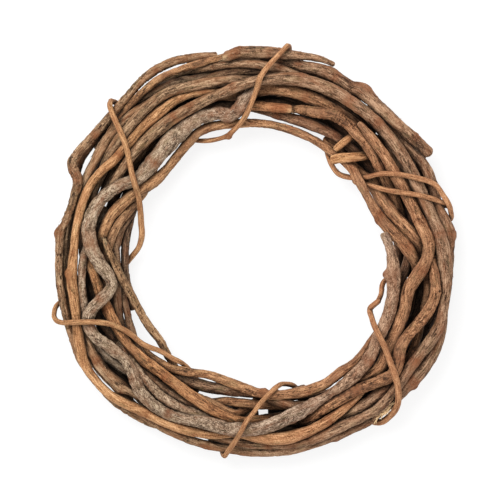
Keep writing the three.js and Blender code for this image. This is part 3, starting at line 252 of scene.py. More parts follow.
class Path:
    """The smooth middle line of a strand with its thickness and two directions square to it."""

    def __init__(self, centres, radii):
        gaps = np.linalg.norm(np.diff(centres, axis=0), axis=1)
        knots = np.concatenate([[0], np.cumsum(gaps)])
        values = np.column_stack([centres, radii])
        slopes = np.diff(values, axis=0) / gaps[:, None]
        bends = np.empty_like(values)
        bends[0], bends[-1] = slopes[0], slopes[-1]
        before, after = gaps[:-1, None], gaps[1:, None]
        bends[1:-1] = (slopes[:-1] * after + slopes[1:] * before) / (before + after)
        at = np.linspace(0, knots[-1], max(int(knots[-1] / PATH_STEP), FEWEST_STEPS))
        span = np.clip(np.searchsorted(knots, at, side="right") - 1, 0, len(gaps) - 1)
        gap = gaps[span, None]
        f = (at - knots[span])[:, None] / gap
        dense = (
            (2 * f**3 - 3 * f**2 + 1) * values[span]
            + (f**3 - 2 * f**2 + f) * gap * bends[span]
            + (3 * f**2 - 2 * f**3) * values[span + 1]
            + (f**3 - f**2) * gap * bends[span + 1]
        )
        first = dense[0] - (dense[1] - dense[0]) * SPARE_PATH / PATH_STEP
        last = dense[-1] + (dense[-1] - dense[-2]) * SPARE_PATH / PATH_STEP
        first[3], last[3] = dense[0, 3], dense[-1, 3]
        dense = np.vstack([first, dense, last])
        lengths = np.linalg.norm(np.diff(dense[:, :3], axis=0), axis=1)
        self.at = np.concatenate([[0], np.cumsum(lengths)]) - lengths[0]
        self.length = self.at[-2]
        self.centres = dense[:, :3]
        self.radii = dense[:, 3]
        self.along = unit(np.gradient(self.centres, self.at, axis=0))
        self.side = np.empty_like(self.along)
        side = np.array([0.0, 0.0, 1.0])
        for number, along in enumerate(self.along):
            side = unit(side - along * (side @ along))
            self.side[number] = side
        self.other = np.cross(self.along, self.side)
        self.ring_at = self.at[1] + np.interp(knots, at, self.at[1:-1])

    def read(self, table, at):
        """Values of a table of the path at distances along it."""
        if table.ndim == 1:
            return np.interp(at, self.at, table)
        return np.stack([np.interp(at, self.at, table[:, axis]) for axis in range(3)], axis=-1)

    def radius_at(self, at):
        """The thickness, from middle to bark, at one distance along the path."""
        return float(self.read(self.radii, np.array(at)))

    def point(self, at, turn, reach):
        """Points at distances along the path, turned round it and a reach away from its middle line."""
        away = (
            self.read(self.side, at) * np.cos(turn)[..., None]
            + self.read(self.other, at) * np.sin(turn)[..., None]
        )
        return self.read(self.centres, at) + away * reach[..., None]

    def turn_to(self, at, target):
        """The turn round the path, at one distance along it, that faces a point."""
        away = target - self.read(self.centres, at)
        return math.atan2(away @ self.read(self.other, at), away @ self.read(self.side, at))

    def nearest(self, spot):
        """The distance along the path where it passes nearest to a spot on the table."""
        inner = slice(1, -1)
        apart = np.linalg.norm(self.centres[inner, :2] - spot, axis=1)
        return self.at[inner][apart.argmin()]

    def stretch(self, angles, radius):
        """The distances along the path between which it lies between two angles round the ring."""
        return sorted(self.nearest(place(angle, radius)) for angle in angles)


def noise(random, u, v, period):
    """Smooth random heights from -1 to 1 over u and v, which closes on itself after period cells of v."""
    low = math.floor(u.min())
    rows = math.floor(u.max()) - low + 2
    lattice = random.uniform(-1, 1, (rows, period))
    row = np.floor(u).astype(int)
    column = np.floor(v).astype(int)
    f = u - row
    g = v - column
    f = f * f * (3 - 2 * f)
    g = g * g * (3 - 2 * g)
    row -= low
    left = column % period
    right = (column + 1) % period
    near = lattice[row, left] * (1 - g) + lattice[row, right] * g
    far = lattice[row + 1, left] * (1 - g) + lattice[row + 1, right] * g
    return near * (1 - f) + far * f


def waves(random, at, share, length, count, shift=0.0):
    """Noise in waves of one length along a strand and so many of them round it."""
    return noise(random, at / length, share * count + shift, count)


def cells(random, u, v, period):
    """Flat plates: each point takes the random height of its cell."""
    low = math.floor(u.min())
    lattice = random.uniform(-1, 1, (math.floor(u.max()) - low + 1, period))
    return lattice[np.floor(u).astype(int) - low, np.floor(v).astype(int) % period]


# How each bark is shaped: heights in millimetres, lumps as a share of the radius, the length of a fibre,
# how many slivers come loose on each millimetre, and how far the grain winds round it on each millimetre
BARKS = {
    "bark_grey": dict(ribs=0.26, fibres=0.26, fine=0.30, furrows=0.45, scales=0.46, lumps=0.09,
                      fibre_length=8, slivers=0.08, twist=0.004),
    "bark_brown": dict(ribs=0.38, fibres=0.38, fine=0.26, furrows=0.62, scales=0.14, lumps=0.085,
                       fibre_length=19, slivers=0.10, twist=0.004),
    "bark_russet": dict(ribs=0.32, fibres=0.30, fine=0.24, furrows=0.48, scales=0.08, lumps=0.08,
                        fibre_length=16, slivers=0.07, twist=0.005),
    "bark_tan": dict(ribs=0.26, fibres=0.22, fine=0.20, furrows=0.34, scales=0.0, lumps=0.065,
                     fibre_length=24, slivers=0.04, twist=0.004),
    "bark_dark": dict(ribs=0.38, fibres=0.34, fine=0.26, furrows=0.58, scales=0.12, lumps=0.09,
                      fibre_length=17, slivers=0.07, twist=0.005),
    "tie_bark": dict(ribs=0.16, fibres=0.13, fine=0.08, furrows=0.16, scales=0.0, lumps=0.05,
                     fibre_length=24, slivers=0.012, twist=0.012),
}
# How wide a rib, a fibre, a fine fibre and a scale are round a strand, and the fewest of each
RIB_WIDE, FEWEST_RIBS = 4.6, 4
FIBRE_WIDE, FEWEST_FIBRES = 2.3, 6
FINE_WIDE, FEWEST_FINE = 1.5, 8
SCALE_WIDE, FEWEST_SCALES = 4.2, 4
# How long they are. A furrow is longer than a fibre by a factor, and a scale has small ones on it.
RIB_LONG = 60
FINE_LONG = 5
FURROW_LONGER = 1.6
FURROW_WIDTH = 0.16
SCALE_LONG, SMALL_SCALE_LONG = 5.5, 2.8
LARGE_SHARE, SMALL_SHARE = 0.7, 0.3
SCALE_EDGE, SCALE_EDGE_LONG = 0.5, 3
# The slow unevenness of a strand: share of the radius, then length and number of the waves
SWAY, SWAY_LONG = 0.05, 34
LUMP_LONG, LUMPS_ROUND = 26, 3
SMALL_LUMP, SMALL_LUMP_LONG, SMALL_LUMPS_ROUND = 0.5, 11, 4
# How far the grain wanders sideways, in fibres, and over what length
WANDER, WANDER_LONG, WANDERS_ROUND = 0.45, 12, 5


def bark_heights(random, path, at, turn, bark):
    """(the slow unevenness of a strand, the relief of its bark), in millimetres at each point."""
    radius = path.read(path.radii, at)
    girth = FULL_TURN * float(path.radii.mean())
    share = turn / FULL_TURN + bark["twist"] * at
    slow = radius * SWAY * waves(random, at, share, SWAY_LONG, 1)
    slow += radius * bark["lumps"] * waves(random, at, share, LUMP_LONG, LUMPS_ROUND)
    slow += radius * bark["lumps"] * SMALL_LUMP * waves(random, at, share, SMALL_LUMP_LONG, SMALL_LUMPS_ROUND)
    wander = WANDER * waves(random, at, share, WANDER_LONG, WANDERS_ROUND)
    rib_count = max(FEWEST_RIBS, round(girth / RIB_WIDE))
    fibre_count = max(FEWEST_FIBRES, round(girth / FIBRE_WIDE))
    fine_count = max(FEWEST_FINE, round(girth / FINE_WIDE))
    ribs = waves(random, at, share, RIB_LONG, rib_count, wander)
    fibres = waves(random, at, share, bark["fibre_length"], fibre_count, wander)
    fine = waves(random, at, share, FINE_LONG, fine_count, wander)
    lines = waves(random, at, share, FURROW_LONGER * bark["fibre_length"], fibre_count, 2 * wander)
    furrows = np.clip(1 - np.abs(lines) / FURROW_WIDTH, 0, 1)
    relief = bark["ribs"] * ribs + bark["fibres"] * fibres + bark["fine"] * fine - bark["furrows"] * furrows
    if bark["scales"]:
        scale_count = max(FEWEST_SCALES, round(girth / SCALE_WIDE))
        bend = SCALE_EDGE * waves(random, at, share, SCALE_EDGE_LONG, scale_count * 2)
        plates = cells(random, at / SCALE_LONG + bend, share * scale_count + bend + wander, scale_count)
        small = cells(random, at / SMALL_SCALE_LONG + bend, share * scale_count * 2 + bend, scale_count * 2)
        relief += bark["scales"] * (LARGE_SHARE * plates + SMALL_SHARE * small)
    return slow, relief


# How wide a knot is at its foot, how much wider for each millimetre that it stands out, and its length in
# widths. Some run out into a long shoulder.
KNOT_WIDE, KNOT_WIDER, KNOT_LONG = 2.6, 0.35, 1.15
LONG_KNOTS = {"vine_top_edge": 2.4, "vine_left_edge": 1.5}
# The stain round a knot reaches farther than the knot, by the square root of this
KNOT_STAIN = 4


def knot_heights(name, path, knots, at, turn, radius):
    """How far the knots of a strand stand out at each point, and how near each point is to one."""
    out = np.zeros_like(at)
    near = np.zeros_like(at)
    for tip, number in knots:
        middle = path.ring_at[number]
        facing = path.turn_to(middle, tip)
        stand = np.linalg.norm(tip - path.read(path.centres, middle)) - path.read(path.radii, middle)
        away = (turn - facing + math.pi) % FULL_TURN - math.pi
        wide = KNOT_WIDE + KNOT_WIDER * stand
        long = wide * LONG_KNOTS.get(name, KNOT_LONG)
        apart = ((at - middle) / long) ** 2 + (away * radius / wide) ** 2
        out += stand * np.exp(-apart)
        near += np.exp(-apart / KNOT_STAIN)
    return out, np.clip(near, 0, 1)


# Places where twigs once grew: a strand swells and turns reddish there, and cracks ring it. In degrees
# round the ring, and one more on every so many millimetres elsewhere.
TWIG_PLACES = {
    "vine_grey_long": (178.0, 195.5, 228.5),
    "vine_top_edge": (66.0,),
    "vine_russet_upper": (10.0,),
    "vine_brown_long": (46.0,),
    "branch_lower_right": (313.0,),
    "branch_top_short": (94.0,),
    "vine_left_edge": (154.0,),
}
BAND_RADIUS = 165.0
TWIG_EVERY = 85.0
TWIG_FROM_ENDS = 8
SWELLING = 0.09
SWELLING_LONG = (3.5, 6)
ALL_ROUND, ONE_SIDED = 0.65, 0.35
TIE_TWIGS = 0.4
CRACK_DEPTH, CRACK_WIDTH, CRACK_FROM_MIDDLE = 0.6, 0.9, 2
CRACK_WANDER, CRACK_WANDER_LONG, CRACK_WANDERS_ROUND = 0.8, 4, 5


def joints_of(random, name, path, at, turn):
    """The swelling round old twig places, as a share of the radius, and the cracks that ring them."""
    swelling = np.zeros_like(at)
    scar = np.zeros_like(at)
    if name.startswith("under"):
        return swelling, scar
    places = [path.nearest(place(angle, BAND_RADIUS)) for angle in TWIG_PLACES.get(name, ())]
    more = random.poisson(path.length / TWIG_EVERY)
    last = max(path.length - TWIG_FROM_ENDS, TWIG_FROM_ENDS + 1)
    places += list(random.uniform(TWIG_FROM_ENDS, last, more))
    strength = TIE_TWIGS if name.startswith("tie") else 1.0
    for middle in places:
        facing = random.uniform(0, FULL_TURN)
        long = random.uniform(*SWELLING_LONG)
        side = ALL_ROUND + ONE_SIDED * np.cos(turn - facing)
        swelling = np.maximum(swelling, strength * SWELLING * side * np.exp(-((at - middle) / long) ** 2))
        wavy = CRACK_WANDER * waves(random, at, turn / FULL_TURN, CRACK_WANDER_LONG, CRACK_WANDERS_ROUND)
        line = np.abs(at - middle - random.uniform(-CRACK_FROM_MIDDLE, CRACK_FROM_MIDDLE) - wavy)
        scar = np.maximum(scar, strength * side * np.clip(1 - line / CRACK_WIDTH, 0, 1))
    return swelling, scar


# Vines with worm holes. A hole is where the noise passes a level, and its wall rises over a slope.
PITTED = ("vine_wavy", "vine_left_edge", "branch_left_frayed")
PIT_DEEP, PIT_LONG, PITS_ROUND = 0.9, 1.7, 14
PIT_ABOVE, PIT_SLOPE = 0.45, 0.25
# The stretch of one vine that is covered with small lumps
BUMPY_VINE, BUMPY_ANGLES, BUMPY_RADIUS = "vine_grey_long", (92.0, 122.0), 150.0
BUMP_HIGH, BUMP_LONG, BUMPS_ROUND = 1.0, 3.4, 9
BUMP_LOWEST, BUMPY_FADE = -0.3, 5
# The stretch of one vine whose bark is cracked into rings
RINGED_VINE, RINGED_ANGLES, RINGED_RADIUS = "vine_ribbed", (72.0, 50.0), 152.0
RING_EVERY, RING_DEEP, RING_WIDTH, RINGED_FADE = 2.6, 0.8, 0.22, 4
RING_WANDER, RING_WANDER_LONG, RING_WANDERS_ROUND = 0.2, 3, 4


def marks_of(random, name, path, at, turn):
    """What only some vines have: (their small lumps, the depth of their worm holes and rings)."""
    lumps = np.zeros_like(at)
    cuts = np.zeros_like(at)
    share = turn / FULL_TURN
    if name in PITTED:
        holes = waves(random, at, share, PIT_LONG, PITS_ROUND)
        cuts += PIT_DEEP * np.clip((holes - PIT_ABOVE) / PIT_SLOPE, 0, 1)
    if name == BUMPY_VINE:
        near, far = path.stretch(BUMPY_ANGLES, BUMPY_RADIUS)
        inside = np.clip(np.minimum(at - near, far - at) / BUMPY_FADE, 0, 1)
        bumps = waves(random, at, share, BUMP_LONG, BUMPS_ROUND)
        lumps += inside * BUMP_HIGH * np.clip(bumps, BUMP_LOWEST, 1)
    if name == RINGED_VINE:
        near, far = path.stretch(RINGED_ANGLES, RINGED_RADIUS)
        inside = np.clip(np.minimum(at - near, far - at) / RINGED_FADE, 0, 1)
        wavy = RING_WANDER * waves(random, at, share, RING_WANDER_LONG, RING_WANDERS_ROUND)
        from_line = np.abs((at / RING_EVERY + wavy) % 1 - 0.5)
        cuts += inside * RING_DEEP * np.clip(1 - from_line / RING_WIDTH, 0, 1)
    return lumps, cuts


# The torn ends that show: which end, how far the break runs into the strand and how ragged it is
TORN_ENDS = {
    "branch_left_frayed": ("last", 9.0, 0.8),
    "branch_top_frayed": ("last", 6.0, 0.6),
    "branch_top_short": ("first", 7.0, 0.7),
    "vine_ribbed": ("last", 4.0, 0.4),
    "branch_lower_right": ("last", 4.0, 0.4),
}
WHOLE = ("", 0.0, 0.0)
# The teeth of a break, and how a strand narrows over them
TOOTH_LONG, TEETH_ROUND = 40, 7
TOOTH_ROOT, TOOTH_RISE = 1.5, 0.6
TORN_WIDTH, TORN_CURVE = 0.62, 0.6
# Over what length an end is worn round, most ends and the blunt ones, and how wide a face is left
END_LONG = 1.1
BLUNT_ENDS = {("vine_top_edge", "last"): 5.0, ("vine_top_edge", "first"): 4.0}
END_FACE = 0.45
# How much of the pale wood shows on a break, in streaks that run out from it, and on a cut
TORN_PALE, PALE_BASE, PALE_STREAK, PALE_REACH = 0.55, 0.6, 1.6, 1.4
PALE_STREAK_LONG, PALE_STREAKS_ROUND = 12, 6
CUT_PALE, CUT_PALE_LONG = 0.35, 0.7


def from_ends(path, at):
    """The distances of points from the strand's two ends."""
    return {"first": at, "last": path.length - at}


def end_shape(random, name, path, at, turn):
    """How far the strand has narrowed towards its ends, from 1 down."""
    narrow = np.ones_like(at)
    torn_end, deep, ragged = TORN_ENDS.get(name, WHOLE)
    for end, far in from_ends(path, at).items():
        if end == torn_end:
            teeth = waves(random, at, turn / FULL_TURN, TOOTH_LONG, TEETH_ROUND)
            short = deep * ragged * np.clip(0.5 + 0.5 * teeth, 0, 1)
            share = np.clip((far - short + TOOTH_ROOT) / (deep * TOOTH_RISE), 0, 1)
            narrow *= TORN_WIDTH + (1 - TORN_WIDTH) * share ** TORN_CURVE
        else:
            soft = BLUNT_ENDS.get((name, end), END_LONG)
            narrow *= np.sqrt(np.clip(1 - (1 - np.clip(far / soft, 0, 1)) ** 2, END_FACE / soft, 1))
    return narrow


def pale_ends(random, name, path, at, turn):
    """How much of the bare pale wood shows at each point: on cuts and on the teeth of a break."""
    pale = np.zeros_like(at)
    if name.startswith(("under", "tie")):
        return pale
    torn_end, deep, _ = TORN_ENDS.get(name, WHOLE)
    for end, far in from_ends(path, at).items():
        if end == torn_end:
            streaks = PALE_STREAK * waves(random, at, turn / FULL_TURN, PALE_STREAK_LONG, PALE_STREAKS_ROUND)
            bare = np.clip(PALE_BASE - far / deep + streaks, 0, 1)
            pale += TORN_PALE * bare * np.clip(PALE_REACH - far / deep, 0, 1)
        else:
            pale += np.clip(1 - far / CUT_PALE_LONG, 0, 1) * CUT_PALE
    return np.clip(pale, 0, 1)


# A sliver is (how far from the middle line and how far along it is rooted, the turn it faces, its length,
# its width, how far its tip lifts, and 1 or -1 for the way it points). Ranges are from lowest to highest.
SLIVER_LONG, SLIVER_WIDE, SLIVER_LIFT = (3.5, 10), (0.9, 2.4), (0.1, 1.5)
# None is rooted nearer to the ends than this, and those near the start point away from it
SLIVER_FROM_START, SLIVER_FROM_END, FORWARD_BEFORE = 4, 12, 14
# The slivers on a torn end: how many on the most ragged one, where they are rooted and how large they are
TOOTH_SLIVERS = 14
TOOTH_INWARD, TOOTH_DEEP = 1.5, 0.8
TOOTH_REACH, TOOTH_WIDE, TOOTH_LIFT = (0.45, 1.0), (0.8, 1.7), (-0.3, 0.9)
TOOTH_SHORTEST, TOOTH_LONGER = 3, 1
# Where one vine is split and pale splinters stand up: between which angles, and how many
SPLIT_VINE = "vine_right_edge"
SPLIT_FROM, SPLIT_TO = 306.0, 312.0
SPLIT_RADIUS = 205.0
SPLINTERS = 56
# They lean outwards by the first of these for the second upwards, and fan out by the third, in radians
SPLINTER_LEANS, SPLINTER_STANDS, SPLINTER_FAN = 6, 9, 0.9
SPLINTER_LONG, SPLINTER_WIDE, SPLINTER_LIFT = (4, 8), (1.3, 2.4), (0.8, 3.6)


def splinters_of(random, path):
    """The pale splinters of the split vine, as slivers that stand up from it."""
    found = []
    for _ in range(SPLINTERS):
        angle = random.uniform(SPLIT_FROM, SPLIT_TO)
        at = path.nearest(place(angle, SPLIT_RADIUS))
        here = path.read(path.centres, np.array(at))
        above = np.append(place(angle, SPLIT_RADIUS + SPLINTER_LEANS), here[2] + SPLINTER_STANDS)
        found.append((
            path.radius_at(at),
            at,
            path.turn_to(at, above) + random.uniform(-SPLINTER_FAN, SPLINTER_FAN),
            random.uniform(*SPLINTER_LONG),
            random.uniform(*SPLINTER_WIDE),
            random.uniform(*SPLINTER_LIFT),
            1 if random.random() < 0.5 else -1,
        ))
    return found


def slivers_of(random, name, path, bark):
    """The loose strips of a strand."""
    found = []
    if name.startswith("under"):
        return found
    for _ in range(random.poisson(bark["slivers"] * path.length)):
        at = random.uniform(SLIVER_FROM_START, max(path.length - SLIVER_FROM_END, SLIVER_FROM_START + 1))
        length = random.uniform(*SLIVER_LONG)
        direction = 1 if random.random() < 0.5 or at < FORWARD_BEFORE else -1
        found.append((
            path.radius_at(at),
            at,
            random.uniform(0, FULL_TURN),
            length,
            random.uniform(*SLIVER_WIDE),
            random.uniform(*SLIVER_LIFT),
            direction,
        ))
    torn_end, deep, ragged = TORN_ENDS.get(name, WHOLE)
    for _ in range(int(TOOTH_SLIVERS * ragged)):
        inward = random.uniform(TOOTH_INWARD, deep * TOOTH_DEEP)
        at = inward if torn_end == "first" else path.length - inward
        found.append((
            path.radius_at(at) * random.uniform(*TOOTH_REACH),
            at,
            random.uniform(0, FULL_TURN),
            random.uniform(TOOTH_SHORTEST, deep + TOOTH_LONGER),
            random.uniform(*TOOTH_WIDE),
            random.uniform(*TOOTH_LIFT),
            -1 if torn_end == "first" else 1,
        ))
    return found


# The shape of a sliver: a thin wedge of four sides that is rooted under the bark and ends in a point.
# A corner of its section is (share of the half width to one side, share of the thickness upwards).
SLIVER_ROWS = 6
SLIVER_SECTION = ((-1, 0.5), (0, 1.0), (1, 0.5), (0, 0.0))
SLIVER_SIDES = len(SLIVER_SECTION)
SLIVER_ROOT, SLIVER_CURVE = 0.9, 1.4
SLIVER_THICK, SLIVER_THINS, SLIVER_NARROWS = 0.55, 0.75, 0.97
SLIVER_BEND = 0.25


def sliver_strip(random, path, radius, at, turn, length, width, lift, direction):
    """(the points of a sliver, the same points laid straight), ring after ring from its root."""
    share = np.linspace(0, 1, SLIVER_ROWS)
    along = at + direction * share * length
    bend = turn + random.uniform(-SLIVER_BEND, SLIVER_BEND) * share ** 2
    rise = -SLIVER_ROOT + (lift + SLIVER_ROOT) * share ** SLIVER_CURVE
    half = width / 2 * np.sqrt(1 - share * SLIVER_NARROWS)
    thick = SLIVER_THICK * (1 - SLIVER_THINS * share)
    points = []
    for number in range(SLIVER_ROWS):
        for side, height in SLIVER_SECTION:
            points.append(path.point(
                np.array(along[number]),
                np.array(bend[number] + side * half[number] / radius),
                np.array(radius + rise[number] + height * thick[number]),
            ))
    reach = np.repeat(radius + rise, SLIVER_SIDES)
    bend = np.repeat(bend, SLIVER_SIDES)
    straight = np.stack([np.repeat(along, SLIVER_SIDES), reach * np.cos(bend), reach * np.sin(bend)], axis=-1)
    return np.array(points), straight


def grid_faces(rows, columns):
    """Quads between neighbouring rings of points that close round."""
    row, column = np.meshgrid(np.arange(rows - 1), np.arange(columns), indexing="ij")
    after = (column + 1) % columns
    a = row * columns + column
    b = row * columns + after
    return np.stack([a, b, b + columns, a + columns], axis=-1).reshape(-1, 4)


class Skin:
    """The points and faces of a strand, with the values that its material reads at each point."""

    def __init__(self, rows, columns, texture_from):
        self.rows = rows
        self.columns = columns
        self.texture_from = texture_from
        self.points = []
        self.quads = []
        self.triangles = []
        self.values = {"straight": [], "relief": [], "rust": [], "pale": [], "shade": []}
        self.count = 0

    def add(self, points, quads, triangles, **values):
        """Take in a closed body: its points, faces that count from its first point, and its values."""
        self.quads.append(quads + self.count)
        self.triangles.append(triangles + self.count)
        self.points.append(points)
        for kind, array in values.items():
            self.values[kind].append(array)
        self.count += len(points)

    def mesh(self, name):
        """The finished smooth mesh."""
        points = np.clip(np.vstack(self.points), LOW, HIGH)
        quads = np.vstack(self.quads)
        triangles = np.vstack(self.triangles)
        mesh = bpy.data.meshes.new(name)
        loops = np.concatenate([quads.ravel(), triangles.ravel()])
        starts = np.concatenate([
            np.arange(len(quads)) * 4,
            len(quads) * 4 + np.arange(len(triangles)) * 3,
        ])
        mesh.vertices.add(len(points))
        mesh.vertices.foreach_set("co", (points * MM).ravel())
        mesh.loops.add(len(loops))
        mesh.loops.foreach_set("vertex_index", loops)
        mesh.polygons.add(len(starts))
        mesh.polygons.foreach_set("loop_start", starts)
        mesh.update(calc_edges=True)
        for kind, arrays in self.values.items():
            array = np.concatenate(arrays).astype(np.float32)
            if array.ndim == 1:
                attribute = mesh.attributes.new(kind, "FLOAT", "POINT")
                attribute.data.foreach_set("value", array)
            else:
                attribute = mesh.attributes.new(kind, "FLOAT_VECTOR", "POINT")
                attribute.data.foreach_set("vector", array.ravel())
        mesh.polygons.foreach_set("use_smooth", np.ones(len(starts), dtype=bool))
        mesh.validate()
        return mesh


# How much lighter or darker a strand is than its bark elsewhere, in red, green and blue
TINTS = {
    "vine_low_left_a": (1.12, 1.04, 0.96),
    "vine_low_left_b": (1.05, 1.0, 0.96),
    "vine_tan_long": (1.05, 1.0, 0.96),
    "vine_top_b": (0.92, 0.90, 0.86),
    "branch_top_frayed": (1.08, 1.0, 0.93),
    "vine_top_inner": (1.05, 0.96, 0.90),
    "stub_thin": (1.22, 1.24, 1.15),
    "stub_thick": (1.18, 1.18, 1.08),
    "branch_left_frayed": (0.86, 0.96, 1.04),
    "vine_left_inner_a": (0.95, 0.99, 1.06),
    "vine_left_inner_b": (0.95, 0.99, 1.06),
    "vine_left_a": (0.97, 1.0, 1.03),
    "vine_left_dark_a": (0.90, 0.90, 0.90),
    "vine_left_dark_b": (0.90, 0.90, 0.90),
}
# The left and the right of the ring differ a little, and the tint changes over this width between them
LEFT_TINT = np.array([1.03, 1.03, 0.99])
RIGHT_TINT = np.array([1.05, 0.99, 1.0])
TINT_CHANGES_OVER = 200
# The grey vine turns browner on the lower right, between these angles
BROWNER_VINE = "vine_grey_long"
BROWNER_FROM, BROWNER_TO, BROWNER_FADE = 288.0, 368.0, 12
BROWNER = np.array([0.95, 0.84, 0.74])
# Painted shade: how dark a point is painted by how little of its surroundings is open, and from where on it
# is left fully lit
DARKEST_PAINTED_SHADE = 0.05
FULLY_OPEN = 0.66
DARK_CURVE = 1.5
# Painted shade also darkens what lies low, deep within the ring, but not its rims
INNER_RIM, OUTER_RIM, RIM_FADE = 130.0, 200.0, 14.0
LIT_HEIGHT, DEEP_OVER, DEEP_PAINTED_SHADE = 31.0, 18.0, 0.72


def tint_and_painted_shade_of(name, points, free):
    """The tint of each point in red, green and blue: of its strand and its place, times the painted shade of
    its crevices and of its depth.
    """
    spot = points[..., :2] - RING_MIDDLE
    right = np.clip(0.5 + spot[..., 0] / TINT_CHANGES_OVER, 0, 1)[..., None]
    colour = LEFT_TINT * (1 - right) + RIGHT_TINT * right
    colour = colour * np.array(TINTS.get(name, (1.0, 1.0, 1.0)))
    if name == BROWNER_VINE:
        angle = np.degrees(np.arctan2(spot[..., 1], spot[..., 0]))
        past = (angle - BROWNER_FROM) % 360
        length = BROWNER_TO - BROWNER_FROM
        brown = np.clip(np.minimum(past, length - past) / BROWNER_FADE, 0, 1)[..., None]
        colour = colour * (1 - brown + brown * BROWNER)
    # Painted shade, darker where little of the surroundings is open
    dark = DARKEST_PAINTED_SHADE + (1 - DARKEST_PAINTED_SHADE) * np.clip(free / FULLY_OPEN, 0, 1) ** DARK_CURVE
    from_middle = np.linalg.norm(spot, axis=-1)
    within = np.clip(np.minimum(from_middle - INNER_RIM, OUTER_RIM - from_middle) / RIM_FADE, 0, 1)
    # Painted shade, darker the lower a point lies within the ring
    deep = np.clip((LIT_HEIGHT - points[..., 2]) / DEEP_OVER, 0, 1)
    dark = dark * (1 - DEEP_PAINTED_SHADE * within * deep)
    return colour * dark[..., None]


# How fine the skin of a strand is, and of one that is hidden on the back
STEP_ALONG, STEP_AROUND = 1.3, 1.25
HIDDEN_STEP = 2.2
FEWEST_ROWS, FEWEST_COLUMNS, FEWEST_OPEN_ROWS = 8, 10, 4
# Bark that is a little thicker than its solid closes the seams between neighbours
SNUG = 0.4
HIDDEN_SNUG = 1.0
# Each strand takes its texture from another place, and each sliver differs a little from its strand
TEXTURE_SPREAD = 1000
SLIVER_SHADE, SLIVER_RELIEF = (0.85, 1.3), (-0.2, 0.9)
SPLINTER_LIT = 1.15


def seed_of(name):
    """The number that a strand's random draws start from."""
    return sum((place_in + 1) * ord(letter) for place_in, letter in enumerate(name))


def skin_of(random, name, path, girth, knots, bark):
    """The skin of a strand with its ends closed, before anything comes loose from it."""
    hidden = name.startswith("under")
    rows = max(FEWEST_ROWS, round(path.length / (HIDDEN_STEP if hidden else STEP_ALONG)))
    columns = max(FEWEST_COLUMNS, round(girth / (HIDDEN_STEP if hidden else STEP_AROUND)))
    at, turn = np.meshgrid(
        np.linspace(0, path.length, rows), np.arange(columns) / columns * FULL_TURN, indexing="ij")
    radius = path.read(path.radii, at)
    slow, relief = bark_heights(random, path, at, turn, bark)
    knot_out, knot_near = knot_heights(name, path, knots, at, turn, radius)
    swelling, scar = joints_of(random, name, path, at, turn)
    lumps, cuts = marks_of(random, name, path, at, turn)
    relief -= cuts + scar * CRACK_DEPTH
    if name.startswith("tie"):
        snug = 0.0
    else:
        snug = HIDDEN_SNUG if hidden else SNUG
    reach = radius + snug + slow + lumps + swelling * radius + relief + knot_out
    reach *= end_shape(random, name, path, at, turn)
    positions = path.point(at, turn, reach)
    # Each point's colour is multiplied by its strand's tint and by painted shade from its openness and its
    # depth
    free = openness(path, max(FEWEST_OPEN_ROWS, rows // OPEN_ROWS), OPEN_COLUMNS)
    shade = tint_and_painted_shade_of(name, positions, spread(free, rows, columns)).reshape(-1, 3)
    straight = np.stack([at, reach * np.cos(turn), reach * np.sin(turn)], axis=-1).reshape(-1, 3)
    texture_from = random.uniform(0, TEXTURE_SPREAD, 3)
    straight += texture_from
    pale = pale_ends(random, name, path, at, turn).ravel()
    rust = np.clip(knot_near + swelling / SWELLING, 0, 1).ravel()
    ends = [path.point(np.array(far), np.array(0.0), np.array(0.0)) for far in (0.0, path.length)]
    first_end = rows * columns
    last_row = first_end - columns
    ring = np.arange(columns)
    after = (ring + 1) % columns
    caps = np.vstack([
        np.column_stack([after, ring, np.full(columns, first_end)]),
        np.column_stack([last_row + ring, last_row + after, np.full(columns, first_end + 1)]),
    ])
    skin = Skin(rows, columns, texture_from)
    skin.add(
        np.vstack([positions.reshape(-1, 3), ends]),
        grid_faces(rows, columns),
        caps,
        straight=np.vstack([straight, straight[[0, -1]]]),
        relief=np.append(relief.ravel(), [0, 0]),
        rust=np.append(rust, [0, 0]),
        pale=np.append(pale, pale[[0, last_row]]),
        shade=np.vstack([shade, shade[[0, last_row]]]),
    )
    return skin


def add_sliver(skin, random, path, sliver, bare):
    """Add a sliver to the skin of its strand. A bare one shows the pale wood."""
    strip, straight = sliver_strip(random, path, *sliver)
    count = len(strip)
    tip = count - SLIVER_SIDES
    row = int(np.clip(round(sliver[1] / path.length * (skin.rows - 1)), 0, skin.rows - 1))
    column = int(round(sliver[2] / FULL_TURN * skin.columns)) % skin.columns
    root = row * skin.columns + column
    # A sliver takes the tint and painted shade of the point that it is rooted in; a bare one is painted no
    # darker than SPLINTER_LIT
    shade = skin.values["shade"][0][root]
    if bare:
        shade = np.maximum(shade, SPLINTER_LIT)
    skin.add(
        strip,
        grid_faces(SLIVER_ROWS, SLIVER_SIDES),
        np.array([[2, 1, 0], [3, 2, 0], [tip, tip + 1, tip + 2], [tip, tip + 2, tip + 3]]),
        straight=straight + skin.texture_from,
        shade=np.repeat(shade[None] * random.uniform(*SLIVER_SHADE), count, axis=0),
        relief=np.full(count, random.uniform(*SLIVER_RELIEF)),
        rust=np.zeros(count),
        pale=np.full(count, 1.0 if bare else skin.values["pale"][0][root]),
    )


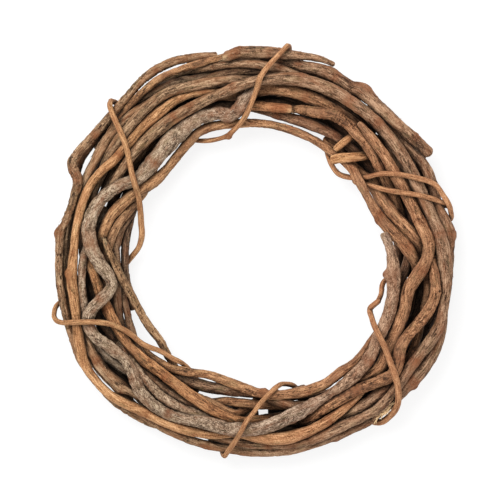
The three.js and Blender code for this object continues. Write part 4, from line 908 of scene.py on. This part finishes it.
def grow(name):
    """One strand with its bark."""
    slot = SLOT_OF[name]
    bark = BARKS[slot]
    random = np.random.default_rng(seed_of(name))
    centres, radii, knots = read_strand(name)
    path = Path(centres, radii)
    skin = skin_of(random, name, path, FULL_TURN * radii.mean(), knots, bark)
    loose = [(sliver, False) for sliver in slivers_of(random, name, path, bark)]
    if name == SPLIT_VINE:
        loose += [(splinter, True) for splinter in splinters_of(random, path)]
    for sliver, bare in loose:
        add_sliver(skin, random, path, sliver, bare)
    mesh = skin.mesh(name + "_bark")
    piece = bpy.data.objects.new(name + "_bark", mesh)
    bpy.context.scene.collection.objects.link(piece)
    mesh.materials.append(BARK_MATERIALS[slot])
    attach(piece, "root")
    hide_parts(name)


def linear(red, green, blue):
    """A colour of a screen, from 0 to 255, as light."""
    shares = (c / 255 for c in (red, green, blue))
    return tuple(((c + 0.055) / 1.055) ** 2.4 if c > 0.04 else c / 12.92 for c in shares) + (1,)


# Bark colours: furrow, shaded bark, body, crest and a second shade in patches
COLOURS = {
    "bark_grey": ((38, 28, 21), (100, 80, 64), (156, 132, 110), (216, 194, 170), (142, 104, 78)),
    "bark_brown": ((32, 22, 15), (92, 69, 50), (142, 110, 83), (194, 162, 130), (152, 104, 70)),
    "bark_russet": ((38, 24, 15), (108, 74, 49), (162, 117, 81), (210, 164, 122), (126, 94, 70)),
    "bark_tan": ((62, 40, 24), (134, 95, 62), (184, 138, 98), (226, 186, 144), (156, 108, 74)),
    "bark_dark": ((22, 15, 11), (72, 52, 38), (118, 89, 67), (168, 136, 108), (120, 78, 52)),
    "tie_bark": ((70, 44, 28), (134, 92, 62), (178, 130, 90), (212, 168, 124), (142, 96, 66)),
}
# Where the first four of them lie on the height of the bark, from 0 to 1
FURROW_AT, SHADED_AT, BODY_AT, CREST_AT = 0.06, 0.32, 0.58, 0.98
RUST = linear(132, 80, 50)
MOSS = linear(124, 108, 74)
PALE_WOOD = linear(222, 190, 146)
# How drawn out the streaks of a bark are, and how strongly they show
STREAKS = {"bark_grey": (0.30, 1.6), "bark_tan": (0.08, 1.9), "tie_bark": (0.08, 1.8)}
OTHER_STREAKS = (0.10, 2.0)
# How much the relief, the grain and the speckles show beside the streaks, and what evens out their sum
RELIEF_SHOWS, GRAIN_SHOWS, SPECKLE_SHOWS = 0.2, 1.7, 1.1
FINE_MIDDLE, STREAK_MIDDLE = -1.98, 1.1
# Patches: from which to which strength of a texture they come in, and from which share to which
SECOND_PATCHES = ((0.48, 0.68), (0.0, 0.5))
RUST_PATCHES = ((0.56, 0.72), (0.0, 0.45))
MOSS_PATCHES = ((0.30, 0.44), (0.35, 0.0))
RUST_FLECKS = ((0.42, 0.56), (0.1, 0.85))
ROUGHNESS = ((0.2, 0.8), (0.97, 0.7))
SHEEN = 0.2
BUMP_STRENGTH, BUMP_DISTANCE, GRAIN_BUMP = 0.7, 0.0006, 0.6


def make_bark_material(slot):
    """The material of one bark, from the values at the points of a skin and from textures along it."""
    furrow, shaded, body, crest, second = (linear(*colour) for colour in COLOURS[slot])
    streak, strong = STREAKS.get(slot, OTHER_STREAKS)
    material = bpy.data.materials.new(slot)
    material.use_nodes = True
    nodes = material.node_tree.nodes
    link = material.node_tree.links.new
    shader = nodes["Principled BSDF"]
    shader.inputs["Specular IOR Level"].default_value = SHEEN

    def node(kind, **settings):
        made = nodes.new(kind)
        for key, value in settings.items():
            setattr(made, key, value)
        return made

    def stored(kind):
        return node("ShaderNodeAttribute", attribute_name=kind)

    def texture(along, across, detail, roughness):
        mapping = node("ShaderNodeMapping")
        mapping.inputs["Scale"].default_value = (along, across, across)
        link(straight.outputs["Vector"], mapping.inputs["Vector"])
        made = node("ShaderNodeTexNoise")
        made.inputs["Scale"].default_value = 1
        made.inputs["Detail"].default_value = detail
        made.inputs["Roughness"].default_value = roughness
        link(mapping.outputs["Vector"], made.inputs["Vector"])
        return made.outputs["Fac"]

    def scaled(value, factor, added):
        made = node("ShaderNodeMath", operation="MULTIPLY_ADD")
        link(value, made.inputs[0])
        made.inputs[1].default_value = factor
        if isinstance(added, float):
            made.inputs[2].default_value = added
        else:
            link(added, made.inputs[2])
        return made.outputs[0]

    def ranged(value, read, given):
        made = node("ShaderNodeMapRange")
        sockets = ("From Min", "From Max", "To Min", "To Max")
        for socket, number in zip(sockets, read + given):
            made.inputs[socket].default_value = number
        link(value, made.inputs["Value"])
        return made.outputs["Result"]

    def mixed(share, first, second_colour, blend="MIX"):
        made = node("ShaderNodeMix", data_type="RGBA", blend_type=blend)
        if isinstance(share, float):
            made.inputs["Factor"].default_value = share
        else:
            link(share, made.inputs["Factor"])
        link(first, made.inputs["A"])
        if isinstance(second_colour, tuple):
            made.inputs["B"].default_value = second_colour
        else:
            link(second_colour, made.inputs["B"])
        return made.outputs["Result"]

    straight = stored("straight")
    relief = stored("relief")
    fibre = texture(along=streak, across=0.9, detail=5, roughness=0.62)
    grain = texture(along=max(0.7, 3 * streak), across=1.15, detail=4, roughness=0.75)
    speckle = texture(along=1.5, across=1.7, detail=2, roughness=0.6)
    hue = texture(along=0.07, across=0.22, detail=3, roughness=0.6)
    broad = texture(along=0.03, across=0.12, detail=3, roughness=0.5)
    fine = scaled(grain, GRAIN_SHOWS, scaled(speckle, SPECKLE_SHOWS, FINE_MIDDLE))
    height = scaled(fine, 1.0, STREAK_MIDDLE - strong / 2)
    height = scaled(fibre, strong, height)
    # The relief darkens the colour where the bark lies low in furrows, pits and cracks: partly the bark's own
    # darker furrows, partly painted shade
    height = scaled(relief.outputs["Fac"], RELIEF_SHOWS * strong, height)
    ramp = node("ShaderNodeValToRGB")
    stops = ramp.color_ramp.elements
    stops[0].position, stops[0].color = FURROW_AT, furrow
    stops[1].position, stops[1].color = CREST_AT, crest
    for position, colour in ((SHADED_AT, shaded), (BODY_AT, body)):
        stop = stops.new(position)
        stop.color = colour
    link(height, ramp.inputs["Fac"])
    colour = mixed(ranged(broad, *SECOND_PATCHES), ramp.outputs["Color"], second)
    colour = mixed(ranged(hue, *RUST_PATCHES), colour, RUST)
    colour = mixed(ranged(hue, *MOSS_PATCHES), colour, MOSS)
    flecks = node("ShaderNodeMath", operation="MULTIPLY")
    link(stored("rust").outputs["Fac"], flecks.inputs[0])
    link(ranged(grain, *RUST_FLECKS), flecks.inputs[1])
    colour = mixed(flecks.outputs[0], colour, RUST)
    colour = mixed(stored("pale").outputs["Fac"], colour, PALE_WOOD)
    # Multiplied by the tint and the painted shade stored at each point
    colour = mixed(1.0, colour, stored("shade").outputs["Color"], "MULTIPLY")
    link(colour, shader.inputs["Base Color"])
    link(ranged(fibre, *ROUGHNESS), shader.inputs["Roughness"])
    bump = node("ShaderNodeBump")
    bump.inputs["Strength"].default_value = BUMP_STRENGTH
    bump.inputs["Distance"].default_value = BUMP_DISTANCE
    link(scaled(grain, GRAIN_BUMP, fibre), bump.inputs["Height"])
    link(bump.outputs["Normal"], shader.inputs["Normal"])
    return material


BARK_MATERIALS = {slot: make_bark_material(slot) for slot in COLOURS}

for node_name in sorted(frame["nodes"]):
    grow(node_name)

# The table, in metres, which glows a little so that it stays pale and even
TABLE_HALF = 20.0
TABLE_GREY, TABLE_GLOW, TABLE_ROUGHNESS = 0.22, 0.80, 0.9
WHITE = (1, 1, 1, 1)
# Soft light from everywhere, and one wide lamp at the upper left. Places and sizes are in metres.
SKY_STRENGTH = 0.82
LAMP_PLACE, LAMP_SIZE, LAMP_POWER = (-0.5, 0.7, 1.5), 1.0, 22
# What the camera sees: millimetres from edge to edge at one height, and the ring lies off the middle
VIEW_ACROSS = 500.0
VIEW_HEIGHT = 32.0
VIEW_OFF_MIDDLE = np.array([-5.0, 0.0])
CAMERA_HEIGHT = 3000.0
SENSOR = 36.0
SEES_TO = 100


def add_floor():
    """The table that the wreath lies on."""
    half = TABLE_HALF
    mesh = bpy.data.meshes.new("floor")
    mesh.from_pydata([(-half, -half, 0), (half, -half, 0), (half, half, 0), (-half, half, 0)],
                     [], [(0, 1, 2, 3)])
    floor = bpy.data.objects.new("floor", mesh)
    bpy.context.scene.collection.objects.link(floor)
    material = bpy.data.materials.new("floor")
    material.use_nodes = True
    shader = material.node_tree.nodes["Principled BSDF"]
    shader.inputs["Base Color"].default_value = (TABLE_GREY, TABLE_GREY, TABLE_GREY, 1)
    shader.inputs["Roughness"].default_value = TABLE_ROUGHNESS
    shader.inputs["Emission Color"].default_value = WHITE
    shader.inputs["Emission Strength"].default_value = TABLE_GLOW
    mesh.materials.append(material)


def add_lights():
    """Even light all round and a soft lamp."""
    world = bpy.data.worlds.new("studio")
    bpy.context.scene.world = world
    world.use_nodes = True
    sky = world.node_tree.nodes["Background"]
    sky.inputs["Color"].default_value = WHITE
    sky.inputs["Strength"].default_value = SKY_STRENGTH
    lamp = bpy.data.lights.new("key", "AREA")
    lamp.shape = "SQUARE"
    lamp.size = LAMP_SIZE
    lamp.energy = LAMP_POWER
    key = bpy.data.objects.new("key", lamp)
    key.location = LAMP_PLACE
    key.rotation_euler = key.location.to_track_quat("Z", "Y").to_euler()
    bpy.context.scene.collection.objects.link(key)


def add_camera():
    """The camera straight above the wreath."""
    camera = bpy.data.cameras.new("camera")
    camera.sensor_width = SENSOR
    camera.sensor_fit = "HORIZONTAL"
    camera.lens = SENSOR * (CAMERA_HEIGHT - VIEW_HEIGHT) / VIEW_ACROSS
    camera.clip_end = SEES_TO
    seen_from = bpy.data.objects.new("camera", camera)
    x, y = (RING_MIDDLE + VIEW_OFF_MIDDLE) * MM
    seen_from.location = (x, y, CAMERA_HEIGHT * MM)
    bpy.context.scene.collection.objects.link(seen_from)
    bpy.context.scene.camera = seen_from


add_floor()
add_lights()
add_camera()
bpy.context.scene.view_settings.view_transform = "Standard"
